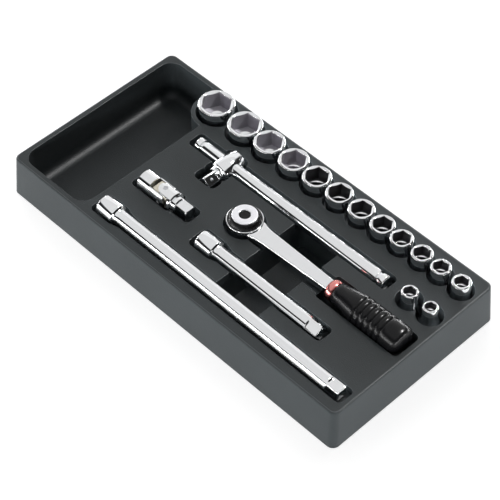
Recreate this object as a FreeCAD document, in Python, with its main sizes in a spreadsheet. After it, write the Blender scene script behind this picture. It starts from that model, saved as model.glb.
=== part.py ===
import FreeCAD, Part
import math
import os
from types import SimpleNamespace

import Sketcher
from FreeCAD import Placement, Rotation, Vector

# Socket set in a moulded drawer tray: fourteen hexagon sockets, two extension bars, a universal joint, a
# sliding T-handle and a round-head ratchet, all with a 3/8 inch square drive.
# +X runs from the empty bay to the far end, +Y towards the socket row and +Z up. The origin is the middle of
# the tray's footprint, on the surface that the tray stands on. Millimetres throughout.

SIZES = [
    # tray
    ("tray_length", 346.0, "over the top edges"),
    ("tray_width", 168.0, "over the top edges"),
    ("tray_height", 37.0, "standing surface to deck"),
    ("tray_flare", 2.3, "how far the skirt leans out at its foot, each side"),
    ("tray_wall", 2.6, "moulded skirt, deck and pocket cups"),
    ("tray_corner", 6.0, "radius of the upright corners"),
    ("tray_edge", 1.5, "radius along the outer top edge"),
    ("bay_rim", 5.0, "rim between the empty bay and the outer top edge"),
    ("bay_land", 5.0, "land between the bay and the nearest tool pocket"),
    ("bay_ring", 3.3, "wall between the bay and the first socket's pocket"),
    ("bay_corner", 12.0, "upright corner radius of the bay"),
    ("bay_foot", 9.0, "sweep between the bay's walls and floor"),
    ("bay_draft", 1.5, "degrees that the bay's walls lean out"),
    ("well_width", 44.0, "finger well, along the tools"),
    ("well_inset", 122.5, "from the tray's far end to the finger well's middle"),
    ("well_floor", 5.2, "height of the finger well's floor"),
    ("pocket_corner", 4.0, "upright corner radius of the tool pockets"),
    ("pocket_play", 1.7, "side gap round a tool in its pocket"),
    ("end_play", 5.0, "gap past the ends of a tool in its pocket"),
    ("seat_gap", 0.1, "rest clearance under everything that lifts out"),
    # sockets
    ("socket_length", 28.0, "overall height of every socket"),
    ("socket_rise", 9.7, "how far the sockets stand above the deck"),
    ("socket_play", 2.4, "radial gap between a socket and its pocket"),
    ("socket_edge", 0.7, "chamfer on both ends of a socket"),
    ("socket_shoulder", 11.5, "height of the plain drive end"),
    ("socket_taper", 4.0, "height of the taper between the two diameters"),
    ("hex_depth", 13.8, "depth of the hexagon"),
    ("hex_lead", 0.9, "depth of the lead-in cone of the hexagon"),
    ("hex_mouth", 0.14, "how far that cone opens past the hexagon's corners"),
    ("bore_step", 0.3, "ledge left round the hole between the hexagon and the square"),
    ("row_inset", 14.5, "from the tray's far end to the last socket of the long row"),
    ("row_line", 63.4, "Y of the long row"),
    ("row_pitch", 33.6, "from the long row to the short row"),
    # square drive
    ("drive_square", 9.5, "across flats of every male square"),
    ("drive_length", 10.8, "length of every male square"),
    ("drive_corner", 6.3, "radius over the rounded corners of a male square"),
    ("drive_edge", 0.8, "chamfer at the tip of a male square"),
    ("drive_play", 0.15, "how much larger a female square is, across flats"),
    ("drive_depth", 11.4, "depth of every female square"),
    ("ball_radius", 1.7, "detent ball"),
    ("ball_back", 5.4, "from the tip of the square back to the ball"),
    ("ball_proud", 0.8, "how far a detent ball stands out of its flat"),
    ("ball_bore", 5.0, "depth of the bore behind a detent ball"),
    ("fit_play", 0.06, "radial running fit of pins, shafts and balls"),
    # extension bars
    ("bar_radius", 6.2, "both extension bars"),
    ("bar_edge", 1.2, "chamfer where a bar meets its square"),
    ("cup_radius", 8.6, "female end of the extension bars"),
    ("cup_length", 16.0, "plain part of the female end"),
    ("cup_taper", 8.4, "taper from the female end down to the bar"),
    ("cup_edge", 0.9, "chamfer round the mouth of a female end"),
    ("long_length", 250.0, "long extension, overall"),
    ("long_inset", 9.8, "from the tray's far end to its tip"),
    ("long_line", -66.5, "its Y"),
    ("long_level", 0.0, "its axis above the deck"),
    ("short_length", 125.0, "short extension, overall"),
    ("short_inset", 58.0, "from the tray's far end to its tip"),
    ("short_line", -37.5, "its Y"),
    ("short_level", -1.5, "its axis above the deck"),
    ("short_roll", 33.0, "degrees that it has rolled in its pocket"),
    # universal joint
    ("joint_inset", 232.9, "from the tray's far end to the pivot"),
    ("joint_line", -27.0, "Y of the joint"),
    ("joint_level", 0.5, "axis above the deck"),
    ("joint_radius", 8.7, "both yokes"),
    ("joint_body", 12.8, "solid part of the socket yoke"),
    ("joint_back_reach", 11.6, "from the pivot to the socket yoke's solid part"),
    ("joint_reach", 8.8, "from the pivot to the drive yoke's disc"),
    ("joint_disc", 2.6, "thickness of the drive yoke's disc"),
    ("joint_slot", 11.4, "gap between a yoke's ears"),
    ("joint_ear", 5.5, "half width and tip radius of an ear"),
    ("joint_play", 0.1, "side gap between the block and an ear"),
    ("joint_block_edge", 0.8, "chamfer of the centre block"),
    ("joint_pin", 2.0, "radius of the cross pins"),
    ("pin_sink", 0.4, "how far the cross pins end below the yokes' rounds"),
    ("joint_neck_radius", 6.6, "neck between the drive yoke and its square"),
    ("joint_neck", 4.5, "length of that neck"),
    ("joint_drop", 3.2, "extra depth of the pocket under the moving yoke"),
    ("joint_waist", 8.2, "half width of the pocket round the neck and square"),
    # sliding T-handle
    ("tee_length", 200.0, "bar, overall"),
    ("tee_inset", 57.8, "from the tray's far end to the bar's end"),
    ("tee_line", 30.9, "Y of the bar"),
    ("tee_level", -3.0, "bar axis above the deck"),
    ("tee_radius", 6.1, "bar"),
    ("tee_edge", 0.8, "chamfer on the bar's ends"),
    ("tee_groove_inset", 5.4, "from a bar end to its groove"),
    ("tee_groove_width", 2.4, "width of the end grooves"),
    ("tee_groove_depth", 0.9, "depth of the end grooves"),
    ("slider_offset", 33.8, "from the bar's left end to the slider"),
    ("slider_radius", 8.9, "slider body"),
    ("slider_back", 10.4, "slider behind the bar"),
    ("slider_front", 11.9, "slider in front of the bar"),
    ("slider_edge", 1.2, "chamfer on the slider's ends"),
    ("slider_neck_radius", 6.9, "ribbed neck in front of the slider"),
    ("slider_neck", 4.2, "length of that neck"),
    ("slider_rib", 0.7, "width and depth of the neck's grooves"),
    ("slider_play", 2.2, "side gap round the slider in its pocket"),
    # ratchet
    ("ratchet_inset", 171.2, "from the tray's far end to the drive axis"),
    ("ratchet_line", -3.4, "Y of the handle"),
    ("ratchet_level", 0.5, "handle axis above the deck"),
    ("head_radius", 14.4, "round head"),
    ("head_top", 4.5, "head above the handle axis"),
    ("head_foot", 8.4, "head below the handle axis"),
    ("head_edge", 0.8, "chamfer round the foot of the head"),
    ("head_rim_edge", 0.3, "chamfer round the top of the head"),
    ("head_floor", 2.4, "wall under the gear"),
    ("head_play", 2.3, "gap round the head in its pocket"),
    ("gear_radius", 9.7, "gear over its teeth"),
    ("gear_tooth", 0.8, "depth of a gear tooth"),
    ("gear_space", 1.3, "width of a tooth space at the tips"),
    ("gear_teeth", 36.0, "teeth of the gear"),
    ("gear_play", 0.4, "gap round and over the gear"),
    ("journal_radius", 7.4, "round part of the drive in the head's floor"),
    ("pawl_pivot", 11.4, "from the drive axis to the pawl's pin"),
    ("pawl_radius", 1.5, "boss of the pawl"),
    ("pawl_spread", 20.0, "degrees from the middle to a pawl's tooth"),
    ("pawl_tooth", 0.45, "reach of a pawl's tooth past the gear's tips when engaged"),
    ("pawl_swing", 5.0, "degrees from the middle to either engaged place"),
    ("pawl_pin", 0.7, "radius of the pawl's pin"),
    ("ring_radius", 13.3, "reversing ring at its foot"),
    ("ring_crown", 10.9, "reversing ring at its top"),
    ("ring_sink", 1.4, "how deep the reversing ring sits in the head"),
    ("ring_top", 8.7, "reversing ring above the handle axis"),
    ("ring_step", 1.1, "plain foot of the reversing ring above the head"),
    ("disc_radius", 10.1, "bright disc on the reversing ring"),
    ("disc_top", 9.5, "bright disc above the handle axis"),
    ("disc_thickness", 2.2, "bright disc"),
    ("disc_edge", 0.4, "chamfer round the bright disc"),
    ("button_radius", 4.5, "release button"),
    ("button_top", 8.7, "release button above the handle axis"),
    ("button_height", 2.4, "head of the release button"),
    ("button_stem", 1.5, "radius of the button's stem"),
    ("button_travel", 2.2, "travel of the release button"),
    ("spring_wire", 0.5, "square wire of the button's spring"),
    ("spring_radius", 2.9, "mean radius of the button's spring"),
    ("spring_turns", 3.0, "turns of the button's spring"),
    ("shank_root", 16.0, "width of the shank at the head"),
    ("shank_tip", 10.4, "width of the shank at the grip"),
    ("shank_thin", 6.0, "thickness of the shank at the head"),
    ("shank_thick", 8.2, "thickness of the shank at the grip"),
    ("shank_round", 1.6, "radius along the shank's edges"),
    ("shank_end", 89.5, "from the drive axis to the end of the bare shank"),
    ("shank_play", 2.2, "side gap round the shank in its pocket"),
    ("collar_radius", 8.5, "coloured collar"),
    ("collar_length", 7.0, "length of the coloured collar"),
    ("collar_edge", 0.6, "chamfer of the collar"),
    ("grip_neck", 8.8, "radius of the grip behind the collar"),
    ("grip_radius", 12.3, "largest radius of the grip"),
    ("grip_swell", 22.5, "length over which the grip swells"),
    ("grip_length", 66.0, "overall length of the grip"),
    ("grip_rib_start", 24.0, "from the collar to the middle of the first groove"),
    ("grip_rib_pitch", 5.1, "pitch of the grip's grooves"),
    ("grip_rib_count", 6.0, "number of the grip's grooves"),
    ("grip_rib_width", 2.2, "width of a groove at the surface"),
    ("grip_rib_depth", 1.0, "depth of a groove"),
    ("grip_end", 5.0, "rounding at the end of the grip"),
    ("grip_play", 0.8, "side gap round the grip in its pocket"),
    ("grip_end_play", 3.5, "gap past the end of the grip in its pocket"),
    ("tang_radius", 4.6, "round tang inside the collar and the grip"),
    ("tang_length", 58.0, "length of that tang"),
]

# nominal size, diameter of the hexagon end, diameter of the drive end, gap to the next larger socket
SOCKETS = [
    (22, 29.5, 25.0, 0.0),
    (21, 28.2, 25.0, 3.3),
    (19, 25.2, 22.6, 0.3),
    (18, 24.3, 22.6, 1.8),
    (17, 22.9, 20.8, 1.2),
    (16, 21.6, 19.8, 1.4),
    (15, 20.8, 19.0, 1.8),
    (14, 19.5, 18.2, 1.4),
    (13, 18.0, 17.0, 0.6),
    (12, 16.9, 16.6, 2.9),
    (11, 15.6, 16.6, 2.35),
    (10, 15.0, 16.6, 4.7),
    (9, 13.0, 16.6, 0.0),
    (8, 11.7, 16.6, 0.0),
]
LONG_ROW = [row[0] for row in SOCKETS[:12]]
STANDS_BEHIND = {9: 11, 8: 10}
ABOVE_DECK = 20.0


class Size:
    """A number that remembers the sheet expression it was worked out from."""

    def __init__(self, value, text):
        self.value = value
        self.text = text

    def __add__(self, other):
        other = size(other)
        return Size(self.value + other.value, "(%s + %s)" % (self.text, other.text))

    def __sub__(self, other):
        other = size(other)
        return Size(self.value - other.value, "(%s - %s)" % (self.text, other.text))

    def __mul__(self, other):
        other = size(other)
        return Size(self.value * other.value, "(%s * %s)" % (self.text, other.text))

    def __truediv__(self, other):
        other = size(other)
        return Size(self.value / other.value, "(%s / %s)" % (self.text, other.text))

    def __neg__(self):
        return Size(-self.value, "(-1 * %s)" % self.text)

    def __radd__(self, other):
        return size(other) + self

    def __rsub__(self, other):
        return size(other) - self

    def __rmul__(self, other):
        return size(other) * self


def size(number):
    if isinstance(number, Size):
        return number
    return Size(float(number), "(%r)" % float(number))


def larger(a, b):
    a, b = size(a), size(b)
    return Size(max(a.value, b.value), "max(%s; %s)" % (a.text, b.text))


def smaller(a, b):
    a, b = size(a), size(b)
    return Size(min(a.value, b.value), "min(%s; %s)" % (a.text, b.text))


def sine(degrees):
    degrees = size(degrees)
    return Size(math.sin(math.radians(degrees.value)), "sin(%s)" % degrees.text)


def cosine(degrees):
    degrees = size(degrees)
    return Size(math.cos(math.radians(degrees.value)), "cos(%s)" % degrees.text)


def lean(rise, run):
    """The angle, in degrees, of a wall that leans by rise over run."""
    rise, run = size(rise), size(run)
    return Size(math.degrees(math.atan(rise.value / run.value)), "atan(%s / %s)" % (rise.text, run.text))


ROOT_THREE = Size(math.sqrt(3.0), "sqrt(3)")

doc = FreeCAD.newDocument("socket_tray")


def fill_sheet():
    """Writes every driving size into the sheet and returns them by name."""
    table = doc.addObject("Spreadsheet::Sheet", "Sizes")
    rows = list(SIZES)
    for nominal, hex_end, drive_end, gap in SOCKETS:
        rows.append(("socket_%d_size" % nominal, float(nominal), "across flats"))
        rows.append(("socket_%d_hex_end" % nominal, hex_end, "diameter of the hexagon end"))
        rows.append(("socket_%d_drive_end" % nominal, drive_end, "diameter of the drive end"))
        if gap:
            rows.append(("socket_%d_gap" % nominal, gap, "to the next larger socket"))
    named = {}
    for number, (name, value, note) in enumerate(rows, start=1):
        table.set("A%d" % number, name)
        table.set("B%d" % number, repr(value))
        table.set("C%d" % number, note)
        table.setAlias("B%d" % number, name)
        named[name] = Size(value, "Sizes." + name)
    doc.recompute()
    return SimpleNamespace(**named)


S = fill_sheet()
DECK = S.tray_height
FAR_END = S.tray_length / 2
WELL_X = FAR_END - S.well_inset
ROW_END = FAR_END - S.row_inset
LONG_END = FAR_END - S.long_inset
SHORT_END = FAR_END - S.short_inset
JOINT_X = FAR_END - S.joint_inset
TEE_END = FAR_END - S.tee_inset
RATCHET_X = FAR_END - S.ratchet_inset
ALONG = {
    "X": Rotation(Vector(0, 0, 1), Vector(1, 0, 0)),
    "Y": Rotation(Vector(0, 0, 1), Vector(0, 1, 0)),
    "Z": Rotation(),
}

# ---------------------------------------------------------------- document helpers


def bind(thing, **sizes):
    """Ties a thing's properties to the sheet."""
    for prop, value in sizes.items():
        value = size(value)
        counted = isinstance(getattr(thing, prop), int)
        setattr(thing, prop, round(value.value) if counted else value.value)
        thing.setExpression(prop, value.text)
    return thing


def place(thing, x=0, y=0, z=0, turn=None):
    """Puts a thing at x, y, z, each tied to the sheet, after turning it."""
    x, y, z = size(x), size(y), size(z)
    thing.Placement = Placement(Vector(x.value, y.value, z.value), turn or Rotation())
    for axis, value in (("x", x), ("y", y), ("z", z)):
        thing.setExpression("Placement.Base." + axis, value.text)
    return thing


def box(length, width, height, x=0, y=0, z=0):
    """A box centred on x and y that stands on z."""
    length, width = size(length), size(width)
    thing = bind(doc.addObject("Part::Box", "box"), Length=length, Width=width, Height=height)
    return place(thing, x - length / 2, y - width / 2, z)


def cylinder(radius, height, x=0, y=0, z=0, along="Z"):
    thing = bind(doc.addObject("Part::Cylinder", "cylinder"), Radius=radius, Height=height)
    return place(thing, x, y, z, ALONG[along])


def cone(radius, end_radius, height, x=0, y=0, z=0, along="Z"):
    thing = bind(doc.addObject("Part::Cone", "cone"), Radius1=radius, Radius2=end_radius, Height=height)
    return place(thing, x, y, z, ALONG[along])


def fuse(*parts):
    thing = doc.addObject("Part::MultiFuse", "fuse")
    thing.Shapes = list(parts)
    thing.Refine = True
    return thing


def cut(base, *tools):
    thing = doc.addObject("Part::Cut", "cut")
    thing.Base = base
    thing.Tool = tools[0] if len(tools) == 1 else fuse(*tools)
    thing.Refine = True
    return thing


def common(*parts):
    thing = doc.addObject("Part::MultiCommon", "common")
    thing.Shapes = list(parts)
    thing.Refine = True
    return thing


def body(name):
    return doc.addObject("PartDesign::Body", name)


def sketch(owner, plane, height=0):
    """A sketch on one of the body's own planes, raised along that plane's normal."""
    drawing = owner.newObject("Sketcher::SketchObject", "sketch")
    role = plane + "_Plane"
    drawing.AttachmentSupport = [(next(o for o in owner.Origin.OriginFeatures if o.Role == role), "")]
    drawing.MapMode = "FlatFace"
    height = size(height)
    drawing.AttachmentOffset = Placement(Vector(0, 0, height.value), Rotation())
    drawing.setExpression("AttachmentOffset.Base.z", height.text)
    return drawing


def pin_point(drawing, edge, end, u, v):
    """Fixes one end of an edge at u, v, both tied to the sheet."""
    for kind, value in (("DistanceX", size(u)), ("DistanceY", size(v))):
        index = drawing.addConstraint(Sketcher.Constraint(kind, -1, 1, edge, end, value.value))
        drawing.setExpression("Constraints[%d]" % index, value.text)


def outline(drawing, points):
    """A closed outline through the points, whose every corner is tied to the sheet."""
    corners = [Vector(size(u).value, size(v).value, 0) for u, v in points]
    count = len(corners)
    first = drawing.GeometryCount
    for index in range(count):
        drawing.addGeometry(Part.LineSegment(corners[index], corners[(index + 1) % count]), False)
    for index in range(count):
        following = first + (index + 1) % count
        drawing.addConstraint(Sketcher.Constraint("Coincident", first + index, 2, following, 1))
    for index, (u, v) in enumerate(points):
        pin_point(drawing, first + index, 1, u, v)
    return drawing


def circle(drawing, radius, u=0, v=0):
    radius = size(radius)
    centre = Vector(size(u).value, size(v).value, 0)
    edge = drawing.addGeometry(Part.Circle(centre, Vector(0, 0, 1), radius.value), False)
    index = drawing.addConstraint(Sketcher.Constraint("Radius", edge, radius.value))
    drawing.setExpression("Constraints[%d]" % index, radius.text)
    pin_point(drawing, edge, 3, u, v)
    return drawing


def pad(owner, drawing, length, taper=0):
    feature = owner.newObject("PartDesign::Pad", "pad")
    feature.Profile = drawing
    bind(feature, Length=length)
    if size(taper).value:
        bind(feature, TaperAngle=taper)
    return feature


def pocket(owner, drawing, length, upwards=False):
    """Cuts against the sketch's normal, or along it, and makes sure that it did cut."""
    doc.recompute()
    before = owner.Shape.Volume
    feature = owner.newObject("PartDesign::Pocket", "pocket")
    feature.Profile = drawing
    feature.Reversed = upwards
    bind(feature, Length=length)
    doc.recompute()
    if owner.Shape.Volume > before - 1e-6:
        raise RuntimeError("a pocket of %s cuts nothing" % owner.Name)
    return feature


def turned(owner, points, axis="V_Axis"):
    """A solid of revolution whose outline lies in the XZ plane, round Z (V_Axis) or round X (H_Axis)."""
    feature = owner.newObject("PartDesign::Revolution", "revolution")
    drawing = outline(sketch(owner, "XZ"), points)
    feature.Profile = drawing
    feature.ReferenceAxis = (drawing, [axis])
    feature.Angle = 360
    return feature


def grooved(owner, points, axis="V_Axis"):
    """Cuts a ring whose outline lies in the XZ plane, round Z (V_Axis) or round X (H_Axis)."""
    feature = owner.newObject("PartDesign::Groove", "groove")
    drawing = outline(sketch(owner, "XZ"), points)
    feature.Profile = drawing
    feature.ReferenceAxis = (drawing, [axis])
    feature.Angle = 360
    return feature


def rounded(owner, feature, radius, wanted):
    """Rounds the edges of the body's last feature that wanted() picks."""
    doc.recompute()
    names = ["Edge%d" % n for n, e in enumerate(feature.Shape.Edges, start=1) if wanted(e)]
    dressing = owner.newObject("PartDesign::Fillet", "rounding")
    dressing.Base = (feature, names)
    return bind(dressing, Radius=radius)


def upright(edge):
    """Picks straight edges that rise more than they run."""
    ends = [vertex.Point for vertex in edge.Vertexes]
    return len(ends) == 2 and abs(ends[0].z - ends[1].z) > 0.9 * (ends[0] - ends[1]).Length


def level_at(height):
    """Picks edges that lie flat at a height."""
    return lambda edge: max(abs(edge.BoundBox.ZMin - height), abs(edge.BoundBox.ZMax - height)) < 1e-4


PARTS = []


def finish(thing, label, x=0, y=0, z=0, turn=None):
    """Names a finished piece, puts it in its place and keeps it for export."""
    place(thing, x, y, z, turn)
    thing.Label = label
    PARTS.append(thing)
    return thing


# ---------------------------------------------------------------- square drive


def square_points(across):
    half = across / 2
    return [(-half, -half), (half, -half), (half, half), (-half, half)]


def female_square(owner, plane):
    """The square hole of a drive, cut into the start of a body along the plane's normal."""
    drawing = outline(sketch(owner, plane), square_points(S.drive_square + S.drive_play))
    return pocket(owner, drawing, S.drive_depth, upwards=True)


def male_square(start, back=0.5):
    """A drive square along X, rooted a little way back from start, with its ball's bore in the +Y flat."""
    root = start - back
    length = S.drive_length + back
    tip = S.drive_corner - S.drive_edge
    half = S.drive_square / 2
    blank = doc.addObject("Part::Box", "square")
    bind(blank, Length=length, Width=S.drive_square, Height=S.drive_square)
    place(blank, root, -half, -half)
    shaped = common(blank, cylinder(S.drive_corner, length, root, 0, 0, "X"),
                    cone(tip + length, tip, length, root, 0, 0, "X"))
    bore = cylinder(S.ball_radius + S.fit_play, S.ball_bore, start + S.drive_length - S.ball_back,
                    half - S.ball_bore, 0, "Y")
    return cut(shaped, bore)


BALL_OUT = S.drive_square / 2 + S.ball_proud - S.ball_radius


# ---------------------------------------------------------------- sockets


def socket_values(nominal):
    """Across flats, radius of the hexagon end and radius of the drive end."""
    across = getattr(S, "socket_%d_size" % nominal)
    hex_end = getattr(S, "socket_%d_hex_end" % nominal) / 2
    drive_end = getattr(S, "socket_%d_drive_end" % nominal) / 2
    return across, hex_end, drive_end


def socket_places():
    """X and Y of every socket, set out leftwards from the far end of the long row."""
    places = {}
    x = ROW_END
    previous = None
    for nominal in reversed(LONG_ROW):
        if previous is not None:
            gap = getattr(S, "socket_%d_gap" % previous)
            x = x - gap - socket_values(previous)[1] - socket_values(nominal)[1]
        places[nominal] = (x, S.row_line)
        previous = nominal
    for nominal, neighbour in STANDS_BEHIND.items():
        places[nominal] = (places[neighbour][0], S.row_line - S.row_pitch)
    return places


PLACES = socket_places()
SOCKET_FOOT = DECK + S.socket_rise - S.socket_length


def make_socket(nominal):
    across, hex_end, drive_end = socket_values(nominal)
    x, y = PLACES[nominal]
    edge = S.socket_edge
    top = S.socket_length
    socket = body("socket")
    turned(socket, [
        (0, 0),
        (drive_end - edge, 0),
        (drive_end, edge),
        (drive_end, S.socket_shoulder),
        (hex_end, S.socket_shoulder + S.socket_taper),
        (hex_end, top - edge),
        (hex_end - edge, top),
        (0, top),
    ])
    corner = across / ROOT_THREE
    hexagon = [(corner * cosine(60 * k), corner * sine(60 * k)) for k in range(6)]
    pocket(socket, outline(sketch(socket, "XY", top), hexagon), S.hex_depth)
    female_square(socket, "XY")
    bore = smaller(across, S.drive_square) / 2 - S.bore_step
    pocket(socket, circle(sketch(socket, "XY"), bore), top, upwards=True)
    mouth = corner + S.hex_mouth
    grooved(socket, [(0, top - S.hex_lead), (corner - S.hex_lead, top - S.hex_lead), (mouth, top), (0, top)])
    finish(socket, "socket_%d" % nominal, x, y, SOCKET_FOOT)


# ---------------------------------------------------------------- extension bars


def make_extension(label, length, end, line, level, roll):
    """An extension bar along X that ends at end and has rolled by roll degrees about its axis."""
    shoulder = length - S.drive_length
    bar = body("bar")
    turned(bar, [
        (0, 0),
        (0, S.cup_radius - S.cup_edge),
        (S.cup_edge, S.cup_radius),
        (S.cup_length, S.cup_radius),
        (S.cup_length + S.cup_taper, S.bar_radius),
        (shoulder - S.bar_edge, S.bar_radius),
        (shoulder, S.bar_radius - S.bar_edge),
        (shoulder, 0),
    ], "H_Axis")
    female_square(bar, "YZ")
    whole = fuse(bar, male_square(shoulder))
    height = DECK + level
    turn = Rotation(Vector(1, 0, 0), roll.value)
    finish(whole, label + "_bar", end - length, line, height, turn)
    if roll.value:
        whole.setExpression("Placement.Rotation.Angle", roll.text)
    detent = doc.addObject("Part::Sphere", "ball")
    bind(detent, Radius=S.ball_radius)
    finish(detent, label + "_ball", end - S.ball_back, line + BALL_OUT * cosine(roll),
           height + BALL_OUT * sine(roll))


# ---------------------------------------------------------------- universal joint


def yoke_ears(reach):
    """Two ears round the pivot at the origin, rooted at x = -reach, above and below a slot."""
    half = S.joint_slot / 2
    side = S.joint_ear
    rounds = cylinder(S.joint_radius, reach + side, -reach, 0, 0, "X")
    plan = fuse(box(reach, side * 2, S.joint_radius * 3, -reach / 2, 0, S.joint_radius * -1.5),
                cylinder(side, S.joint_radius * 3, 0, 0, S.joint_radius * -1.5))
    slot = box((reach + side) * 2, S.joint_radius * 3, half * 2, 0, 0, -half)
    pin = cylinder(S.joint_pin + S.fit_play, S.joint_radius * 3, 0, 0, S.joint_radius * -1.5)
    return cut(common(rounds, plan), slot, pin)


def make_universal_joint():
    x, y, z = JOINT_X, S.joint_line, DECK + S.joint_level
    base = body("yoke")
    depth = S.joint_body
    turned(base, [
        (0, 0),
        (0, S.joint_radius - S.cup_edge),
        (S.cup_edge, S.joint_radius),
        (depth, S.joint_radius),
        (depth, 0),
    ], "H_Axis")
    female_square(base, "YZ")
    place(base, -S.joint_back_reach - depth)
    ears = yoke_ears(S.joint_back_reach)
    ears.Placement = Placement(Vector(), Rotation(Vector(1, 0, 0), 90))
    finish(fuse(base, ears), "joint_socket_yoke", x, y, z)

    root = S.joint_reach
    neck_end = root + S.joint_disc + S.joint_neck
    stem = body("stem")
    turned(stem, [
        (root, 0),
        (root, S.joint_radius),
        (root + S.joint_disc - S.cup_edge, S.joint_radius),
        (root + S.joint_disc, S.joint_radius - S.cup_edge),
        (root + S.joint_disc, S.joint_neck_radius),
        (neck_end - S.cup_edge, S.joint_neck_radius),
        (neck_end, S.joint_neck_radius - S.cup_edge),
        (neck_end, 0),
    ], "H_Axis")
    far_ears = yoke_ears(S.joint_reach)
    far_ears.Placement = Placement(Vector(), Rotation(Vector(0, 0, 1), 180))
    finish(fuse(stem, far_ears, male_square(neck_end)), "joint_drive_yoke", x, y, z)

    side = S.joint_slot - S.joint_play * 2
    block = doc.addObject("Part::Box", "block")
    bind(block, Length=side, Width=side, Height=side)
    place(block, -side / 2, -side / 2, -side / 2)
    doc.recompute()
    eased = doc.addObject("Part::Chamfer", "eased")
    eased.Base = block
    edge = S.joint_block_edge.value
    eased.Edges = [(n, edge, edge) for n in range(1, 13)]
    hole = S.joint_pin + S.fit_play
    across = cylinder(hole, side * 2, 0, -side, 0, "Y")
    down = cylinder(hole, side * 2, 0, 0, -side)
    finish(cut(eased, across, down), "joint_block", x, y, z)

    reach = S.joint_radius - S.pin_sink
    finish(cylinder(S.joint_pin, reach * 2), "joint_pin_across", x, y - reach, z, ALONG["Y"])
    short = reach - S.joint_pin - S.fit_play
    finish(cylinder(S.joint_pin, short), "joint_pin_upper", x, y, z + S.joint_pin + S.fit_play)
    finish(cylinder(S.joint_pin, short), "joint_pin_lower", x, y, z - S.joint_pin - S.fit_play - short)
    detent = bind(doc.addObject("Part::Sphere", "ball"), Radius=S.ball_radius)
    finish(detent, "joint_ball", x + neck_end + S.drive_length - S.ball_back, y + BALL_OUT, z)


# ---------------------------------------------------------------- sliding T-handle


def make_t_handle():
    z = DECK + S.tee_level
    length = S.tee_length
    groove = S.tee_groove_inset
    far = groove + S.tee_groove_width
    bottom = S.tee_radius - S.tee_groove_depth
    bar = body("bar")
    turned(bar, [
        (0, 0),
        (0, S.tee_radius - S.tee_edge),
        (S.tee_edge, S.tee_radius),
        (groove, S.tee_radius),
        (groove, bottom),
        (far, bottom),
        (far, S.tee_radius),
        (length - far, S.tee_radius),
        (length - far, bottom),
        (length - groove, bottom),
        (length - groove, S.tee_radius),
        (length - S.tee_edge, S.tee_radius),
        (length, S.tee_radius - S.tee_edge),
        (length, 0),
    ], "H_Axis")
    finish(bar, "tee_bar", TEE_END - length, S.tee_line, z)

    front = S.slider_front
    neck_end = front + S.slider_neck
    rib = S.slider_rib
    slider = body("slider")
    profile = [
        (-S.slider_back, 0),
        (-S.slider_back, S.slider_radius - S.slider_edge),
        (-S.slider_back + S.slider_edge, S.slider_radius),
        (front - S.slider_edge, S.slider_radius),
        (front, S.slider_radius - S.slider_edge),
        (front, S.slider_neck_radius),
    ]
    for start in (front + rib, front + rib * 3):
        profile += [
            (start, S.slider_neck_radius),
            (start, S.slider_neck_radius - rib),
            (start + rib, S.slider_neck_radius - rib),
            (start + rib, S.slider_neck_radius),
        ]
    profile += [(neck_end, S.slider_neck_radius), (neck_end, 0)]
    turned(slider, profile, "H_Axis")
    through = cylinder(S.tee_radius + S.fit_play, S.slider_radius * 3, 0, S.slider_radius * -1.5, 0, "Y")
    x = TEE_END - length + S.slider_offset
    finish(cut(fuse(slider, male_square(neck_end)), through), "tee_slider", x, S.tee_line, z,
           Rotation(Vector(0, 0, 1), -90))
    detent = bind(doc.addObject("Part::Sphere", "ball"), Radius=S.ball_radius)
    finish(detent, "tee_ball", x + BALL_OUT, S.tee_line - neck_end - S.drive_length + S.ball_back, z)


# ---------------------------------------------------------------- ratchet


def make_handle():
    """Head, shank and tang of the ratchet, hollowed for the gear, the pawl and the reversing ring."""
    foot = -S.head_foot
    top = S.head_top
    head = body("head")
    turned(head, [
        (0, foot),
        (S.head_radius - S.head_edge, foot),
        (S.head_radius, foot + S.head_edge),
        (S.head_radius, top - S.head_rim_edge),
        (S.head_radius - S.head_rim_edge, top),
        (0, top),
    ])
    shank = doc.addObject("Part::Wedge", "shank")
    root, tip = S.shank_root / 2, S.shank_tip / 2
    thin, thick = S.shank_thin / 2, S.shank_thick / 2
    bind(shank, Xmin=-root, Xmax=root, Zmin=-thin, Zmax=thin, Ymin=0)
    bind(shank, X2min=-tip, X2max=tip, Z2min=-thick, Z2max=thick, Ymax=S.shank_end)
    doc.recompute()
    eased = doc.addObject("Part::Fillet", "eased")
    eased.Base = shank
    radius = S.shank_round.value
    eased.Edges = [(n, radius, radius) for n, edge in enumerate(shank.Shape.Edges, start=1)
                   if edge.BoundBox.YLength > S.shank_end.value / 2]
    eased.Placement = Placement(Vector(), Rotation(Vector(0, 0, 1), -90))
    tang = cylinder(S.tang_radius, S.tang_length + S.shank_round, S.shank_end - S.shank_round, 0, 0, "X")

    cavity = body("cavity")
    floor = foot + S.head_floor
    seat = top - S.ring_sink
    gear_room = S.gear_radius + S.gear_play
    ring_room = S.ring_radius + S.fit_play
    journal_room = S.journal_radius + S.fit_play
    turned(cavity, [
        (0, foot),
        (journal_room, foot),
        (journal_room, floor),
        (gear_room, floor),
        (gear_room, seat),
        (ring_room, seat),
        (ring_room, top),
        (0, top),
    ])
    room = S.pawl_radius + S.gear_play / 2
    pawl_side = S.gear_radius * sine(S.pawl_spread) * 2 + S.pawl_radius * 2
    pawl_cavity = common(
        box(S.pawl_pivot + room, pawl_side, seat - floor, (S.pawl_pivot + room) / 2, 0, floor),
        cylinder(S.ring_radius - S.gear_play / 2, seat - floor, 0, 0, floor),
    )
    whole = cut(fuse(head, eased, tang), cavity, pawl_cavity)
    finish(whole, "ratchet_handle", RATCHET_X, S.ratchet_line, DECK + S.ratchet_level)


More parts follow.
